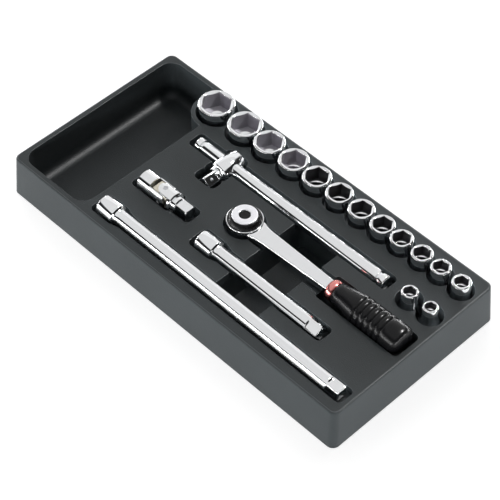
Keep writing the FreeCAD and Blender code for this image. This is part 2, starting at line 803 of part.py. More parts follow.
def make_gear():
    """The drive: toothed gear, journal and square in one, bored for the release button's stem."""
    foot = -S.head_foot
    floor = foot + S.head_floor + S.fit_play
    top = S.head_top - S.ring_sink - S.gear_play
    gear = body("gear")
    turned(gear, [
        (0, foot),
        (S.journal_radius, foot),
        (S.journal_radius, floor),
        (S.gear_radius, floor),
        (S.gear_radius, top),
        (0, top),
    ])
    bottom = S.gear_radius - S.gear_tooth
    outer = S.gear_radius + S.gear_tooth
    half = S.gear_space / 2 * (outer - bottom) / S.gear_tooth
    space = outline(sketch(gear, "XY", top), [(bottom, 0), (outer, -half), (outer, half)])
    first = pocket(gear, space, top - floor)
    pattern = gear.newObject("PartDesign::PolarPattern", "teeth")
    pattern.Originals = [first]
    pattern.Axis = (space, ["N_Axis"])
    pattern.Angle = 360
    bind(pattern, Occurrences=S.gear_teeth)
    gear.Tip = pattern
    square = male_square(S.head_foot)
    square.Placement = Placement(Vector(), Rotation(Vector(0, 1, 0), 90))
    depth = S.head_foot + S.drive_length - S.drive_edge - S.ball_back + S.ball_radius
    stem = cylinder(S.button_stem + S.fit_play, top + depth, 0, 0, -depth)
    z = DECK + S.ratchet_level
    finish(cut(fuse(gear, square), stem), "ratchet_gear", RATCHET_X, S.ratchet_line, z)
    detent = bind(doc.addObject("Part::Sphere", "ball"), Radius=S.ball_radius)
    finish(detent, "ratchet_ball", RATCHET_X, S.ratchet_line + BALL_OUT,
           z - S.head_foot - S.drive_length + S.ball_back)


def make_pawl():
    """A rocker with a tooth at each end, turned so that the +Y tooth is in the gear."""
    floor = -S.head_foot + S.head_floor + S.fit_play
    height = S.head_top - S.ring_sink - S.gear_play - floor
    spread = S.pawl_spread
    tip = S.gear_radius + S.gear_tooth / 8
    points = []
    for side in (-1, 1):
        angle = spread * side
        root = tip + S.pawl_tooth
        near = (tip * cosine(angle) - S.pawl_pivot, tip * sine(angle))
        low = (root * cosine(angle - 3) - S.pawl_pivot, root * sine(angle - 3))
        high = (root * cosine(angle + 3) - S.pawl_pivot, root * sine(angle + 3))
        points += [low, near, high]
        if side < 0:
            points += [(-S.pawl_radius, 0)]
    back = [(S.pawl_radius * 0.3, S.gear_radius * sine(spread)), (S.pawl_radius * 0.8, 0),
            (S.pawl_radius * 0.3, -S.gear_radius * sine(spread))]
    pawl = body("pawl")
    pad(pawl, outline(sketch(pawl, "XY", floor), points + back), height)
    pin_hole = cylinder(S.pawl_pin + S.fit_play, height, 0, 0, floor)
    whole = cut(fuse(pawl, cylinder(S.pawl_radius, height, 0, 0, floor)), pin_hole)
    x = RATCHET_X + S.pawl_pivot
    z = DECK + S.ratchet_level
    finish(whole, "ratchet_pawl", x, S.ratchet_line, z, Rotation(Vector(0, 0, 1), S.pawl_swing.value))
    whole.setExpression("Placement.Rotation.Angle", S.pawl_swing.text)
    finish(cylinder(S.pawl_pin, height), "pawl_pin", x, S.ratchet_line, z + floor)


def make_reversing_ring():
    z = DECK + S.ratchet_level
    foot = S.head_top - S.ring_sink + S.fit_play
    step = S.head_top + S.ring_step
    seat = S.disc_top - S.disc_thickness
    hole = S.button_radius + S.fit_play
    ring = body("ring")
    turned(ring, [
        (hole, foot),
        (S.ring_radius, foot),
        (S.ring_radius, step),
        (S.ring_crown, S.ring_top),
        (S.disc_radius, S.ring_top),
        (S.disc_radius, seat),
        (hole, seat),
    ])
    finish(ring, "reversing_ring", RATCHET_X, S.ratchet_line, z)
    disc = body("disc")
    turned(disc, [
        (hole, seat),
        (S.disc_radius, seat),
        (S.disc_radius, S.disc_top - S.disc_edge),
        (S.disc_radius - S.disc_edge, S.disc_top),
        (hole + S.disc_edge, S.disc_top),
        (hole, S.disc_top - S.disc_edge),
    ])
    finish(disc, "ratchet_disc", RATCHET_X, S.ratchet_line, z)


def make_release_button():
    """A push button whose stem runs down through the gear to the ball in the square."""
    z = DECK + S.ratchet_level
    top = S.button_top
    under = top - S.button_height
    depth = S.head_foot + S.drive_length - S.drive_edge - S.ball_back - S.ball_radius - S.button_travel
    button = body("button")
    turned(button, [
        (0, -depth),
        (S.button_stem, -depth),
        (S.button_stem, under),
        (S.button_radius, under),
        (S.button_radius, top),
        (0, top),
    ])
    finish(button, "release_button", RATCHET_X, S.ratchet_line, z)
    foot = S.head_top - S.ring_sink - S.gear_play
    rise = under - foot
    wire = S.spring_wire
    coil = doc.addObject("Part::Helix", "coil")
    bind(coil, Pitch=(rise - wire) / S.spring_turns, Height=rise - wire, Radius=S.spring_radius)
    coil.SegmentLength = 1
    section = doc.addObject("Part::Plane", "section")
    bind(section, Length=wire, Width=wire)
    place(section, S.spring_radius - wire / 2, turn=Rotation(Vector(1, 0, 0), 90))
    spring = doc.addObject("Part::Sweep", "spring")
    spring.Sections = [section]
    spring.Spine = (coil, [])
    spring.Solid = True
    spring.Frenet = True
    finish(spring, "button_spring", RATCHET_X, S.ratchet_line, z + foot)


def make_grip():
    start = S.shank_end
    bore = S.tang_radius + S.fit_play
    edge = S.collar_edge
    collar = body("collar")
    length = S.collar_length
    turned(collar, [
        (0, bore),
        (0, S.collar_radius - edge),
        (edge, S.collar_radius),
        (length - edge, S.collar_radius),
        (length, S.collar_radius - edge),
        (length, bore),
    ], "H_Axis")
    z = DECK + S.ratchet_level
    finish(collar, "ratchet_collar", RATCHET_X + start, S.ratchet_line, z)

    grip = body("grip")
    blank = turned(grip, [
        (0, 0),
        (0, S.grip_neck),
        (S.grip_swell, S.grip_radius),
        (S.grip_length, S.grip_radius),
        (S.grip_length, 0),
    ], "H_Axis")
    swell = S.grip_swell.value
    rounded(grip, blank, S.grip_end, lambda edge: edge.BoundBox.XMin > swell + 1)
    middle = S.grip_rib_start
    half = S.grip_rib_width / 2
    outer = S.grip_radius + S.grip_rib_depth
    reach = half * 2
    first = grooved(grip, [(middle - reach, outer), (middle, S.grip_radius - S.grip_rib_depth),
                           (middle + reach, outer)], "H_Axis")
    pattern = grip.newObject("PartDesign::LinearPattern", "ribs")
    pattern.Originals = [first]
    pattern.Direction = (first.Profile[0], ["H_Axis"])
    bind(pattern, Length=S.grip_rib_pitch * (S.grip_rib_count - 1), Occurrences=S.grip_rib_count)
    grip.Tip = pattern
    hole = cylinder(bore, S.tang_length - S.collar_length + S.seat_gap, 0, 0, 0, "X")
    finish(cut(grip, hole), "ratchet_grip", RATCHET_X + start + S.collar_length, S.ratchet_line, z)


# ---------------------------------------------------------------- tray


class Pocket:
    """The hollows of one tool pocket, and the same hollows grown by the moulding's wall."""

    def __init__(self):
        self.hollows = []
        self.cups = []

    def prism(self, points, floor, corner=S.pocket_corner):
        """A hollow whose rounded outline is the given one grown by corner, from floor up past the deck."""
        for grow, found in ((size(0), self.hollows), (S.tray_wall, self.cups)):
            drawing = outline(doc.addObject("Sketcher::SketchObject", "plan"), points)
            place(drawing, 0, 0, floor - grow)
            plan = doc.addObject("Part::Offset2D", "plan")
            plan.Source = drawing
            plan.Join = "Arc"
            bind(plan, Value=corner + grow)
            hollow = doc.addObject("Part::Extrusion", "hollow")
            hollow.Base = plan
            hollow.DirMode = "Custom"
            hollow.Dir = Vector(0, 0, 1)
            hollow.Solid = True
            bind(hollow, LengthFwd=DECK + ABOVE_DECK - floor)
            found.append(hollow)

    def slot(self, x0, x1, y0, y1, floor, corner=S.pocket_corner):
        """A rounded rectangle from x0 to x1 and from y0 to y1."""
        left, right, front, back = x0 + corner, x1 - corner, y0 + corner, y1 - corner
        self.prism([(left, front), (right, front), (right, back), (left, back)], floor, corner)

    def round(self, radius, x, y, floor):
        for grow, found in ((size(0), self.hollows), (S.tray_wall, self.cups)):
            found.append(cylinder(radius + grow, DECK + ABOVE_DECK - floor, x, y, floor - grow))

    def bar(self, x0, x_cup, x_taper, x1, line, halves, floors, corner=S.pocket_corner):
        """A pocket for a bar with a wide end at x0, deeper there and narrowing between x_cup and x_taper."""
        left, right = x0 + corner, x1 - corner
        wide, narrow = halves[0] - corner, halves[1] - corner
        front = [(left, line - wide), (x_cup, line - wide), (x_taper, line - narrow)]
        back = [(x_taper, line + narrow), (x_cup, line + wide), (left, line + wide)]
        self.prism(front + back, floors[0], corner)
        self.prism(front + [(right, line - narrow), (right, line + narrow)] + back, floors[1], corner)


def extension_pocket(length, end, line, level):
    found = Pocket()
    start = end - length
    axis = DECK + level
    play = S.pocket_play
    found.bar(start - S.end_play, start + S.cup_length, start + S.cup_length + S.cup_taper, end + S.end_play,
              line, (S.cup_radius + play, S.bar_radius + play),
              (axis - S.cup_radius - S.seat_gap, axis - S.bar_radius - S.seat_gap))
    return found


def joint_pocket():
    found = Pocket()
    play = S.pocket_play
    axis = DECK + S.joint_level
    line = S.joint_line
    start = JOINT_X - S.joint_back_reach - S.joint_body
    disc_end = JOINT_X + S.joint_reach + S.joint_disc
    end = disc_end + S.joint_neck + S.drive_length
    half = S.joint_radius + play
    floor = axis - S.joint_radius - S.seat_gap
    moving = JOINT_X - S.joint_back_reach
    found.slot(start - S.end_play, disc_end + play, line - half, line + half, floor)
    found.slot(moving, end + S.end_play, line - S.joint_waist, line + S.joint_waist, floor - S.joint_drop)
    return found


def tee_pocket():
    found = Pocket()
    play = S.pocket_play
    axis = DECK + S.tee_level
    start = TEE_END - S.tee_length
    found.slot(start - S.end_play, TEE_END + S.end_play, S.tee_line - S.tee_radius - play,
               S.tee_line + S.tee_radius + play, axis - S.tee_radius - S.seat_gap)
    middle = start + S.slider_offset
    half = S.slider_radius + S.slider_play
    floor = axis - S.slider_radius - S.seat_gap
    neck = S.tee_line - S.slider_front - S.slider_neck
    found.slot(middle - half, middle + half, neck - play, S.tee_line + S.slider_back + play, floor)
    found.slot(middle - half, middle + half, neck - S.drive_length - play, neck, floor)
    return found


def ratchet_pocket():
    found = Pocket()
    axis = DECK + S.ratchet_level
    line = S.ratchet_line
    head = S.head_radius + S.head_play
    found.round(head, RATCHET_X, line, axis - S.head_foot - S.seat_gap)
    found.round(S.drive_corner + S.head_play, RATCHET_X, line,
                axis - S.head_foot - S.drive_length - S.seat_gap)
    shank = S.shank_root / 2 + S.shank_play
    grip = RATCHET_X + S.shank_end
    found.slot(RATCHET_X, grip, line - shank, line + shank, axis - S.shank_thick / 2 - S.seat_gap)
    half = S.grip_radius + S.grip_play
    found.slot(grip - S.end_play, grip + S.collar_length + S.grip_length + S.grip_end_play, line - half,
               line + half, axis - S.grip_radius - S.seat_gap)
    return found


def socket_pocket(nominal):
    found = Pocket()
    across, hex_end, drive_end = socket_values(nominal)
    x, y = PLACES[nominal]
    found.round(larger(hex_end, drive_end) + S.socket_play, x, y, SOCKET_FOOT - S.seat_gap)
    return found


def finger_well():
    """The trough under the tools' bars, from the long extension to the T-handle."""
    found = Pocket()
    half = S.well_width / 2
    found.slot(WELL_X - half, WELL_X + half, S.long_line, S.tee_line, S.well_floor)
    return found


def bay_blank(grow):
    """The empty bay as a solid, grown by grow on its sides and floor."""
    left = S.bay_rim - S.tray_length / 2 - grow
    nearest = smaller(LONG_END - S.long_length, TEE_END - S.tee_length)
    nearest = smaller(nearest, JOINT_X - S.joint_back_reach - S.joint_body)
    right = nearest - S.end_play - S.bay_land + grow
    half = S.tray_width / 2 - S.bay_rim + grow
    floor = S.tray_wall - grow
    height = DECK + ABOVE_DECK - floor
    shrink = (DECK - floor) * sine(S.bay_draft)
    blank = body("bay")
    drawing = outline(sketch(blank, "XY", floor), [
        (left + shrink, -half + shrink),
        (right - shrink, -half + shrink),
        (right - shrink, half - shrink),
        (left + shrink, half - shrink),
    ])
    block = pad(blank, drawing, height, S.bay_draft)
    sides = rounded(blank, block, S.bay_corner + grow, upright)
    rounded(blank, sides, S.bay_foot + grow, level_at(floor.value))
    return blank


def make_tray():
    pockets = [
        extension_pocket(S.long_length, LONG_END, S.long_line, S.long_level),
        extension_pocket(S.short_length, SHORT_END, S.short_line, S.short_level),
        joint_pocket(),
        tee_pocket(),
        ratchet_pocket(),
        finger_well(),
    ]
    pockets += [socket_pocket(row[0]) for row in SOCKETS]
    hollows = [hollow for found in pockets for hollow in found.hollows]
    cups = [cup for found in pockets for cup in found.cups]

    across, hex_end, drive_end = socket_values(LONG_ROW[0])
    x, y = PLACES[LONG_ROW[0]]
    ring = larger(hex_end, drive_end) + S.socket_play + S.bay_ring
    tall = DECK + ABOVE_DECK * 2
    corner_depth = S.tray_width / 2 - y
    round_wall = cylinder(ring, tall, x, y, -ABOVE_DECK)
    corner_wall = box(S.tray_length, corner_depth, tall, x - ring + S.tray_length / 2, y + corner_depth / 2,
                      -ABOVE_DECK)
    bay = cut(bay_blank(size(0)), round_wall, corner_wall)

    slant = -lean(S.tray_flare, DECK)
    foot_x = S.tray_length / 2 + S.tray_flare
    foot_y = S.tray_width / 2 + S.tray_flare
    block = body("block")
    drawing = outline(sketch(block, "XY"), [(-foot_x, -foot_y), (foot_x, -foot_y), (foot_x, foot_y),
                                            (-foot_x, foot_y)])
    sides = rounded(block, pad(block, drawing, DECK, slant), S.tray_corner, upright)
    rounded(block, sides, S.tray_edge, level_at(DECK.value))

    inner_x, inner_y = foot_x - S.tray_wall, foot_y - S.tray_wall
    inside = body("inside")
    drawing = outline(sketch(inside, "XY"), [(-inner_x, -inner_y), (inner_x, -inner_y), (inner_x, inner_y),
                                             (-inner_x, inner_y)])
    rounded(inside, pad(inside, drawing, DECK - S.tray_wall, slant), S.tray_corner - S.tray_wall, upright)

    space = cut(inside, bay_blank(S.tray_wall), *cups)
    tray = cut(cut(block, space), bay, *hollows)
    finish(tray, "tray")


# ---------------------------------------------------------------- build and export


make_tray()
for row in SOCKETS:
    make_socket(row[0])
make_extension("long", S.long_length, LONG_END, S.long_line, S.long_level, size(0))
make_extension("short", S.short_length, SHORT_END, S.short_line, S.short_level, S.short_roll)
make_universal_joint()
make_t_handle()
make_handle()
make_gear()
make_pawl()
make_reversing_ring()
make_release_button()
make_grip()
doc.recompute()

for thing in doc.Objects:
    if "Invalid" in thing.State or "Error" in thing.State:
        raise RuntimeError("%s (%s) failed: %s" % (thing.Name, thing.Label, thing.State))
for thing in PARTS:
    if thing.Shape.isNull() or not thing.Shape.isValid():
        raise RuntimeError("%s has no valid shape" % thing.Label)

os.makedirs("parts", exist_ok=True)
for thing in PARTS:
    thing.Shape.exportStep("parts/%s.step" % thing.Label)
    print("%-20s %d solid(s) %10.1f mm3" % (thing.Label, len(thing.Shape.Solids), thing.Shape.Volume))
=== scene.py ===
import math

import bmesh
import bpy
from bpy.props import FloatProperty, FloatVectorProperty, PointerProperty
from mathutils import Matrix, Vector


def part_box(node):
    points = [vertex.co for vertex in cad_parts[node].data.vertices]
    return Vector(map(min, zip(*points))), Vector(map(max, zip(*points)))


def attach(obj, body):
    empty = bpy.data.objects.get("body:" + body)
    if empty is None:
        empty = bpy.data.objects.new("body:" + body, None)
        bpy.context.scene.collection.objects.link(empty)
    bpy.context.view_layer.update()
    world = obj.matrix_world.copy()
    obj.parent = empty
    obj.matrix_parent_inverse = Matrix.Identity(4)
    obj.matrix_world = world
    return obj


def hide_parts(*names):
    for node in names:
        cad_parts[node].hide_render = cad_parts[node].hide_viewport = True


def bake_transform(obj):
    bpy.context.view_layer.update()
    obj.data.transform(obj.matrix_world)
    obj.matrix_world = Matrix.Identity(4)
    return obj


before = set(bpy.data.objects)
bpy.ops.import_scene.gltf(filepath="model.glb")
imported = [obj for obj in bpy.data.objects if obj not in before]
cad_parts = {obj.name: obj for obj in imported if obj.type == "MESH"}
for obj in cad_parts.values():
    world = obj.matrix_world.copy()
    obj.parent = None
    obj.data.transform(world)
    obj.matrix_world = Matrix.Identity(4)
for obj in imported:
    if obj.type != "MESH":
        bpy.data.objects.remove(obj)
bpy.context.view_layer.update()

bl_info = {
    "name": "Socket Set In A Drawer Tray",
    "version": (1, 0, 0),
    "blender": (4, 5, 0),
    "location": "View3D > Sidebar > Socket Tray",
    "description": "Builds a moulded drawer tray and the sockets, bars and ratchet that stand in it",
    "category": "Add Mesh",
}

MM = 0.001

# Lengths are in millimetres as far as the studio's, which are in metres.
ROUND = 72                      # sides of a turned piece
SHARP = 99                      # radius of a circle too wide to cut a square's corners
CHAMFER = 0.8                   # at the ends of drive squares and bars
ROUNDING_STEPS = 5              # of the tray's lip and of the shank
EASING_STEPS = 2                # of all other edges
TEE_EASING, DISC_EASING = 0.8, 0.5  # shares of the tools' edge width

# nominal size: diameter of the hexagon end, diameter of the drive end
SOCKETS = {
    22: (29.5, 25.0),
    21: (28.2, 25.0),
    19: (25.2, 22.6),
    18: (24.3, 22.6),
    17: (22.9, 20.8),
    16: (21.6, 19.8),
    15: (20.8, 19.0),
    14: (19.5, 18.2),
    13: (18.0, 17.0),
    12: (16.9, 16.6),
    11: (15.6, 16.6),
    10: (15.0, 16.6),
    9: (13.0, 16.6),
    8: (11.7, 16.6),
}

RIM_INSET = 2                   # the tray's inner rim lies at least this far inside its outline
RIM_SLACK = 0.01                # how far under the top a spot still counts as on it
WALLS_OVER_DECK = 14            # a little more than the walls stand over the deck
LEVEL = 0.9999                  # the least Z of a level face's normal

SOCKET_HEIGHT = 28.0
SOCKET_CHAMFER = 0.7
SOCKET_CONE = (11.5, 15.5)      # heights between which the drive end widens into the hexagon end
HEX_TURN = math.radians(35)
HEX_DEPTH = 0.78                # of the nominal size
DEEPEST_HEX = 15.3
HEX_CORNER_GAP = 0.14           # from the hexagon's corners to the rim of its mouth
HEX_MOUTH_SLOPE = 0.55          # how far the mouth sinks for each millimetre inwards
LARGE_FROM = 19                 # the nominal size from which the bore under the hexagon is narrow
LARGE_FLOOR = (6.6, 3.2, 1.5)   # radius of its lip, radius of the bore, and the drop between them
SMALL_FLOOR = (7.3, 6.5, 0.7)   # the same for the other sockets, where their size leaves room
LIP_WALL, BORE_WALL = 0.9, 1.7  # the least distance from the hexagon's flats to the lip and to the bore
BRIGHT_FROM = 18                # the nominal size from which the inside is the broached steel; smaller sockets get a darker copy of it, painted shade of their narrow holes
MOUTH_DEPTH = 1.2               # of the chamfered mouth, which stays chrome
LIP_TILT = (0.2, 0.97)          # least and greatest Z of the lip's normals
LIP_MARGIN = 0.1                # how far past its radius a face still counts as the lip's
SQUARE_MARGIN = 1.0             # how far the inside's finish reaches down into the square hole

DRIVE = 9.5                     # male square, across its flats
DRIVE_LENGTH = 10.8
DRIVE_CORNER = 6.3              # radius of the circle that cuts the square's corners
DRIVE_TAPER = 1.0               # how much narrower the square is at its tip
DRIVE_CONE = 1.2                # length over which a round neck runs out into the square
FEMALE_DRIVE = 9.65             # female square, across its flats
FEMALE_DEPTH = 11.0
FEMALE_CHAMFER = 0.9
EIGHTH = math.radians(45)

# name: length, and how far the bar is rolled in its pocket
EXTENSIONS = {"long": (250.0, 0.0), "short": (125.0, 33.0)}
EXTENSION_HEAD = 8.6
EXTENSION_RADIUS = 6.2
EXTENSION_NECK = [(16.6, 8.6), (17.5, 7.0), (18.8, 6.35), (21.0, 6.2)]  # height and radius

TEE_LENGTH = 200.0
TEE_RADIUS = 6.1
TEE_GROOVE = (5.4, 7.8)         # from the bar's end
TEE_GROOVE_DEPTH = 1.3
SLIDER_NECK = 5.9
SLIDER_CUT = 0.05               # how far behind its shoulder the slider is cut for the new drive square

BLOCK_END = 4.0                 # from the joint block's middle to the end that is moved
BLOCK_STRETCH = 4.4

# profiles of the ratchet's turned pieces: height above the shank's middle plane, and radius
DISC_TOP = 9.5
BUTTON_HOLE = 4.56
TANG_HOLE = 4.66
HEAD_PROFILE = [
    (-8.4, 7.5), (-8.4, 13.6), (-7.6, 14.4), (2.4, 14.4), (4.0, 14.4), (4.2, 14.4), (4.5, 14.1), (4.5, 13.4),
    (3.1, 13.3), (3.1, 12.6), (-6.0, 12.6), (-6.0, 7.5),
]
GAP_SHADE_HEIGHTS = (2.5, 3.9)          # heights of a black band round the head, painted shade of the gap at the head's rim next to the shank
GAP_SHADE_RADIUS = 14.0         # the band lies outside this
RING_PROFILE = [
    (3.16, BUTTON_HOLE), (3.16, 13.3), (5.6, 13.3), (8.7, 10.9), (8.7, 10.1), (7.3, 10.1), (7.3, BUTTON_HOLE),
]
DISC_PROFILE = [
    (7.3, BUTTON_HOLE), (7.3, 10.1), (9.1, 10.1), (DISC_TOP, 9.7), (DISC_TOP, 4.96), (9.1, BUTTON_HOLE),
]

# the shank, from the head's axis towards the grip
SHANK_START, SHANK_END = 12.0, 89.5
SHANK_HALF_WIDTH = (8.0, 5.2)   # at the axis and at the end
SHANK_HALF_HEIGHT = (3.0, 4.1)
SHANK_ROUNDING = 1.6
SHANK_CUTS = 30
FLARE_END = 24.0                # how far from the axis the flare reaches
FLARE_LENGTH = 12.0
FLARE_WIDTH = 1.9
FLARE_POWER = 2.2

# profiles along the handle: distance from the piece's own start, and radius
COLLAR_LENGTH = 7.0
COLLAR_PROFILE = [
    (0, TANG_HOLE), (0, 7.2), (1.0, 8.0), (2.2, 8.4), (3.5, 8.5), (4.8, 8.4), (6.0, 8.0),
    (COLLAR_LENGTH, 7.2), (COLLAR_LENGTH, TANG_HOLE),
]
COLLAR_EDGE = 0.3
COLLAR_SHADE_SPAN = (1.5, 3.3)        # from its middle, where the painted shade towards its ends starts and where it is deepest; the pale middle is a painted highlight
PAINTED_SHADE_RED = (0.12, 0.005, 0.006)
GRIP_SWELL = [(0, TANG_HOLE), (0, 8.3), (0.5, 8.8), (4, 9.2), (10, 10.3), (16, 11.5), (21, 12.2)]
GRIP_END = [(54, 12.3), (60, 12.3), (62.6, 11.9), (64.6, 10.6), (65.7, 8.6), (66, 6.5), (66, 2.0)]
GRIP_GROOVES = 6
FIRST_GROOVE = 24.0
GROOVE_PITCH = 5.1
GROOVE_PROFILE = [(-1.5, 12.3), (-0.9, 12.0), (0, 11.35), (0.9, 12.0), (1.5, 12.3)]  # from its middle

# the studio, in metres; each strip has its turn round the tray in degrees, its height and its watts
CAMERA_TARGET = Vector((0.02355, -0.01935, 0.03684))
FLOOR_RADIUS = 6.0
PAPER_WHITE, PAPER_GLOW = 0.82, 0.78
STRIPS = (("front_strip", -98, 0.19, 7.0), ("right_strip", 0, 0.035, 5.8),
          ("rear_strip", 90, 0.035, 8.0), ("left_strip", 180, 0.035, 8.0))
STRIP_SIZE = (1.6, 0.06)
STRIP_DISTANCE = 1.1
SOFTBOX_PLACE = Vector((0.51, 0.82, 1.28))
SOFTBOX_SIZE = (0.16, 0.16)
SOFTBOX_WATTS = 30.0
BACKLIGHT_TURN, BACKLIGHT_RISE = math.radians(135), math.radians(24)
BACKLIGHT_FOCUS, BACKLIGHT_STRENGTH, FILL_STRENGTH = 4, 2.0, 0.02

# the room that bright things show; each pair is where a part of it starts to change and where it is done
OVERHEAD = (0.625, 0.635)
GAP_FOOT, GAP_FRONT = (0.31, 0.32), (0.05, 0.15)
DARK_SIDE_TOP, DARK_SIDE = (0.70, 0.74), (0.45, 0.6)
BRIGHT_SIDE_TOP, BRIGHT_SIDE = (0.22, 0.28), (0.45, 0.75)
RIGHT_WAY, LEFT_WAY = (0.83, 0.56, 0.0), (-0.56, -0.83, 0.0)
OVERHEAD_LOSS, BRIGHT_SIDE_GAIN, DARK_LOSS = 0.17, 0.35, 0.98

ALONG_X = Matrix.Rotation(math.radians(90), 4, "Y")
ALONG_FRONT = Matrix.Rotation(math.radians(90), 4, "X")

# ---------------------------------------------------------------- sizes and colours


class TraySettings(bpy.types.PropertyGroup):
    plastic: FloatVectorProperty(
        name="Plastic", description="Colour of the moulded tray", subtype="COLOR", size=3, min=0, max=1,
        default=(0.073, 0.086, 0.092))
    grain: FloatProperty(
        name="Grain", description="Size of the moulded grain, in millimetres", default=0.9, min=0.1, max=5)
    edge: FloatProperty(
        name="Edge", description="Width of the rounding on the tray's edges", subtype="DISTANCE",
        unit="LENGTH", default=0.0005, min=0.0001, max=0.002)
    lip: FloatProperty(
        name="Lip", description="Width of the rounding inside the walls' tops", subtype="DISTANCE",
        unit="LENGTH", default=0.0015, min=0.0001, max=0.003)


class ToolSettings(bpy.types.PropertyGroup):
    chrome: FloatVectorProperty(
        name="Chrome", description="Colour of the plated tools", subtype="COLOR", size=3, min=0, max=1,
        default=(0.86, 0.87, 0.88))
    polish: FloatProperty(
        name="Polish", description="Roughness of the plating", subtype="FACTOR", default=0.09, min=0, max=1)
    edge: FloatProperty(
        name="Edge", description="Width of the rounding on the tools' edges, in millimetres", default=0.3,
        min=0.05, max=0.6)
    collar: FloatVectorProperty(
        name="Collar", description="Colour of the ratchet's collar", subtype="COLOR", size=3, min=0, max=1,
        default=(0.78, 0.30, 0.28))
    rubber: FloatVectorProperty(
        name="Grip", description="Colour of the ratchet's grip", subtype="COLOR", size=3, min=0, max=1,
        default=(0.005, 0.005, 0.006))


class StudioSettings(bpy.types.PropertyGroup):
    distance: FloatProperty(
        name="Distance", description="From the camera to the tray", subtype="DISTANCE", unit="LENGTH",
        default=1.40273, min=0.5, max=5)
    azimuth: FloatProperty(
        name="Azimuth", description="Where the camera stands round the tray", subtype="ANGLE",
        default=math.radians(-44.394), min=-math.pi, max=math.pi)
    elevation: FloatProperty(
        name="Elevation", description="How high the camera stands", subtype="ANGLE",
        default=math.radians(49.092), min=0, max=math.pi / 2)
    lens: FloatProperty(name="Lens", description="Focal length in millimetres", default=136.087, min=20)


class SocketTraySettings(bpy.types.PropertyGroup):
    tray: PointerProperty(type=TraySettings)
    tools: PointerProperty(type=ToolSettings)
    studio: PointerProperty(type=StudioSettings)


# ---------------------------------------------------------------- shader maths


class Value:
    """A socket of a node tree that can be used in a sum."""

    def __init__(self, shader, socket):
        self.shader = shader
        self.socket = socket

    def math(self, operation, *others):
        numbers = dict(enumerate((self, *others)))
        return self.shader.node("ShaderNodeMath", {"operation": operation}, numbers)[0]

    def __add__(self, other):
        return self.math("ADD", other)

    def __sub__(self, other):
        return self.math("SUBTRACT", other)

    def __mul__(self, other):
        return self.math("MULTIPLY", other)

    def __pow__(self, other):
        return self.math("POWER", other)

    __radd__ = __add__
    __rmul__ = __mul__

    def __rsub__(self, other):
        return (self * -1) + other

    def ramp(self, low, high):
        """0 below low and 1 above high."""
        return self.shader.node("ShaderNodeMapRange", {"clamp": True},
                                {"Value": self, "From Min": low, "From Max": high})[0]

    def either(self, other):
        """The greater of the two."""
        return self.math("MAXIMUM", other)


class Graph:
    """The nodes of a material or of the world."""

    def __init__(self, tree):
        self.nodes = tree.nodes
        self.links = tree.links
        self.place = self.node("ShaderNodeTexCoord")

    def node(self, kind, settings=None, inputs=None):
        """Adds a node, gives it its settings and then feeds its sockets. Returns its outputs, which can be
        called by name or by number."""
        made = self.nodes.new(kind)
        for key, value in (settings or {}).items():
            setattr(made, key, value)
        for key, value in (inputs or {}).items():
            self.feed(made.inputs[key], value)
        outputs = {socket.name: Value(self, socket) for socket in made.outputs}
        outputs.update(enumerate(Value(self, socket) for socket in made.outputs))
        return outputs

    def feed(self, socket, value):
        """Links a value to a socket, or sets the socket to a number or colour."""
        if isinstance(value, Value):
            self.links.new(value.socket, socket)
        else:
            socket.default_value = value


class Finish(Graph):
    """A material with one Principled shader, and the nodes that feed it."""

    def __init__(self, name, **constants):
        self.material = bpy.data.materials.new(name)
        self.material.use_nodes = True
        super().__init__(self.material.node_tree)
        self.surface = self.nodes["Principled BSDF"]
        self.place = self.place["Object"]
        for socket, number in constants.items():
            self.surface.inputs[socket.replace("_", " ")].default_value = number

    def wear(self, socket, value):
        """Feeds one of the Principled shader's sockets."""
        self.feed(self.surface.inputs[socket], value)

    def noise(self, size, detail, stretch=(1, 1, 1)):
        """Soft noise whose lumps are about size metres across."""
        place = self.node("ShaderNodeMapping", None, {"Vector": self.place, "Scale": stretch})["Vector"]
        return self.node("ShaderNodeTexNoise", {"noise_dimensions": "3D"},
                         {"Vector": place, "Scale": 1 / size, "Detail": detail, "Roughness": 0.5})[0]

    def blend(self, factor, low, high):
        """A colour between two."""
        mixed = self.node("ShaderNodeMix", {"data_type": "RGBA"},
                          {0: factor, 6: (*low, 1), 7: (*high, 1)})
        return mixed[2]

    def bump(self, height, distance):
        """The surface's normal, bent by a height that stands for distance metres at most."""
        return self.node("ShaderNodeBump", None,
                         {"Height": height, "Distance": distance, "Strength": 1.0})["Normal"]


def shade(colour, by):
    """The colour, lighter or darker."""
    return tuple(min(1.0, part * by) for part in colour)


def moulded_plastic(tray, name, by, gloss, roughness):
    """The tray's plastic in a shade of its colour, with its fine grain and a faint cloudiness."""
    finish = Finish(name, Specular_IOR_Level=gloss)
    grain = finish.noise(tray.grain * MM, 3)
    cloud = finish.noise(0.045, 2)
    finish.wear("Base Color", finish.blend(cloud.ramp(0.3, 0.7), shade(tray.plastic, by * 0.93),
                                           shade(tray.plastic, by * 1.07)))
    finish.wear("Roughness", grain * 0.1 + roughness)
    finish.wear("Normal", finish.bump(grain, 0.00018))
    return finish.material


def plated(name, colour, polish):
    """Chrome plate: bright, with the faint ripple and haze of a forged part under it."""
    finish = Finish(name, Metallic=1.0)
    haze = finish.noise(0.004, 3)
    ripple = finish.noise(0.0016, 2)
    finish.wear("Base Color", finish.blend(haze, shade(colour, 0.97), colour))
    finish.wear("Roughness", haze * 0.07 + (polish - 0.035))
    finish.wear("Normal", finish.bump(ripple, 0.00001))
    return finish.material


def turned_steel(name, colour, low, high):
    """Bare steel with fine marks across Z, and a roughness that goes from low to high."""
    finish = Finish(name, Metallic=1.0)
    marks = finish.noise(0.0005, 2, (1, 1, 6))
    finish.wear("Base Color", finish.blend(marks, shade(colour, 0.9), colour))
    finish.wear("Roughness", marks * (high - low) + low)
    finish.wear("Normal", finish.bump(marks, 0.000008))
    return finish.material


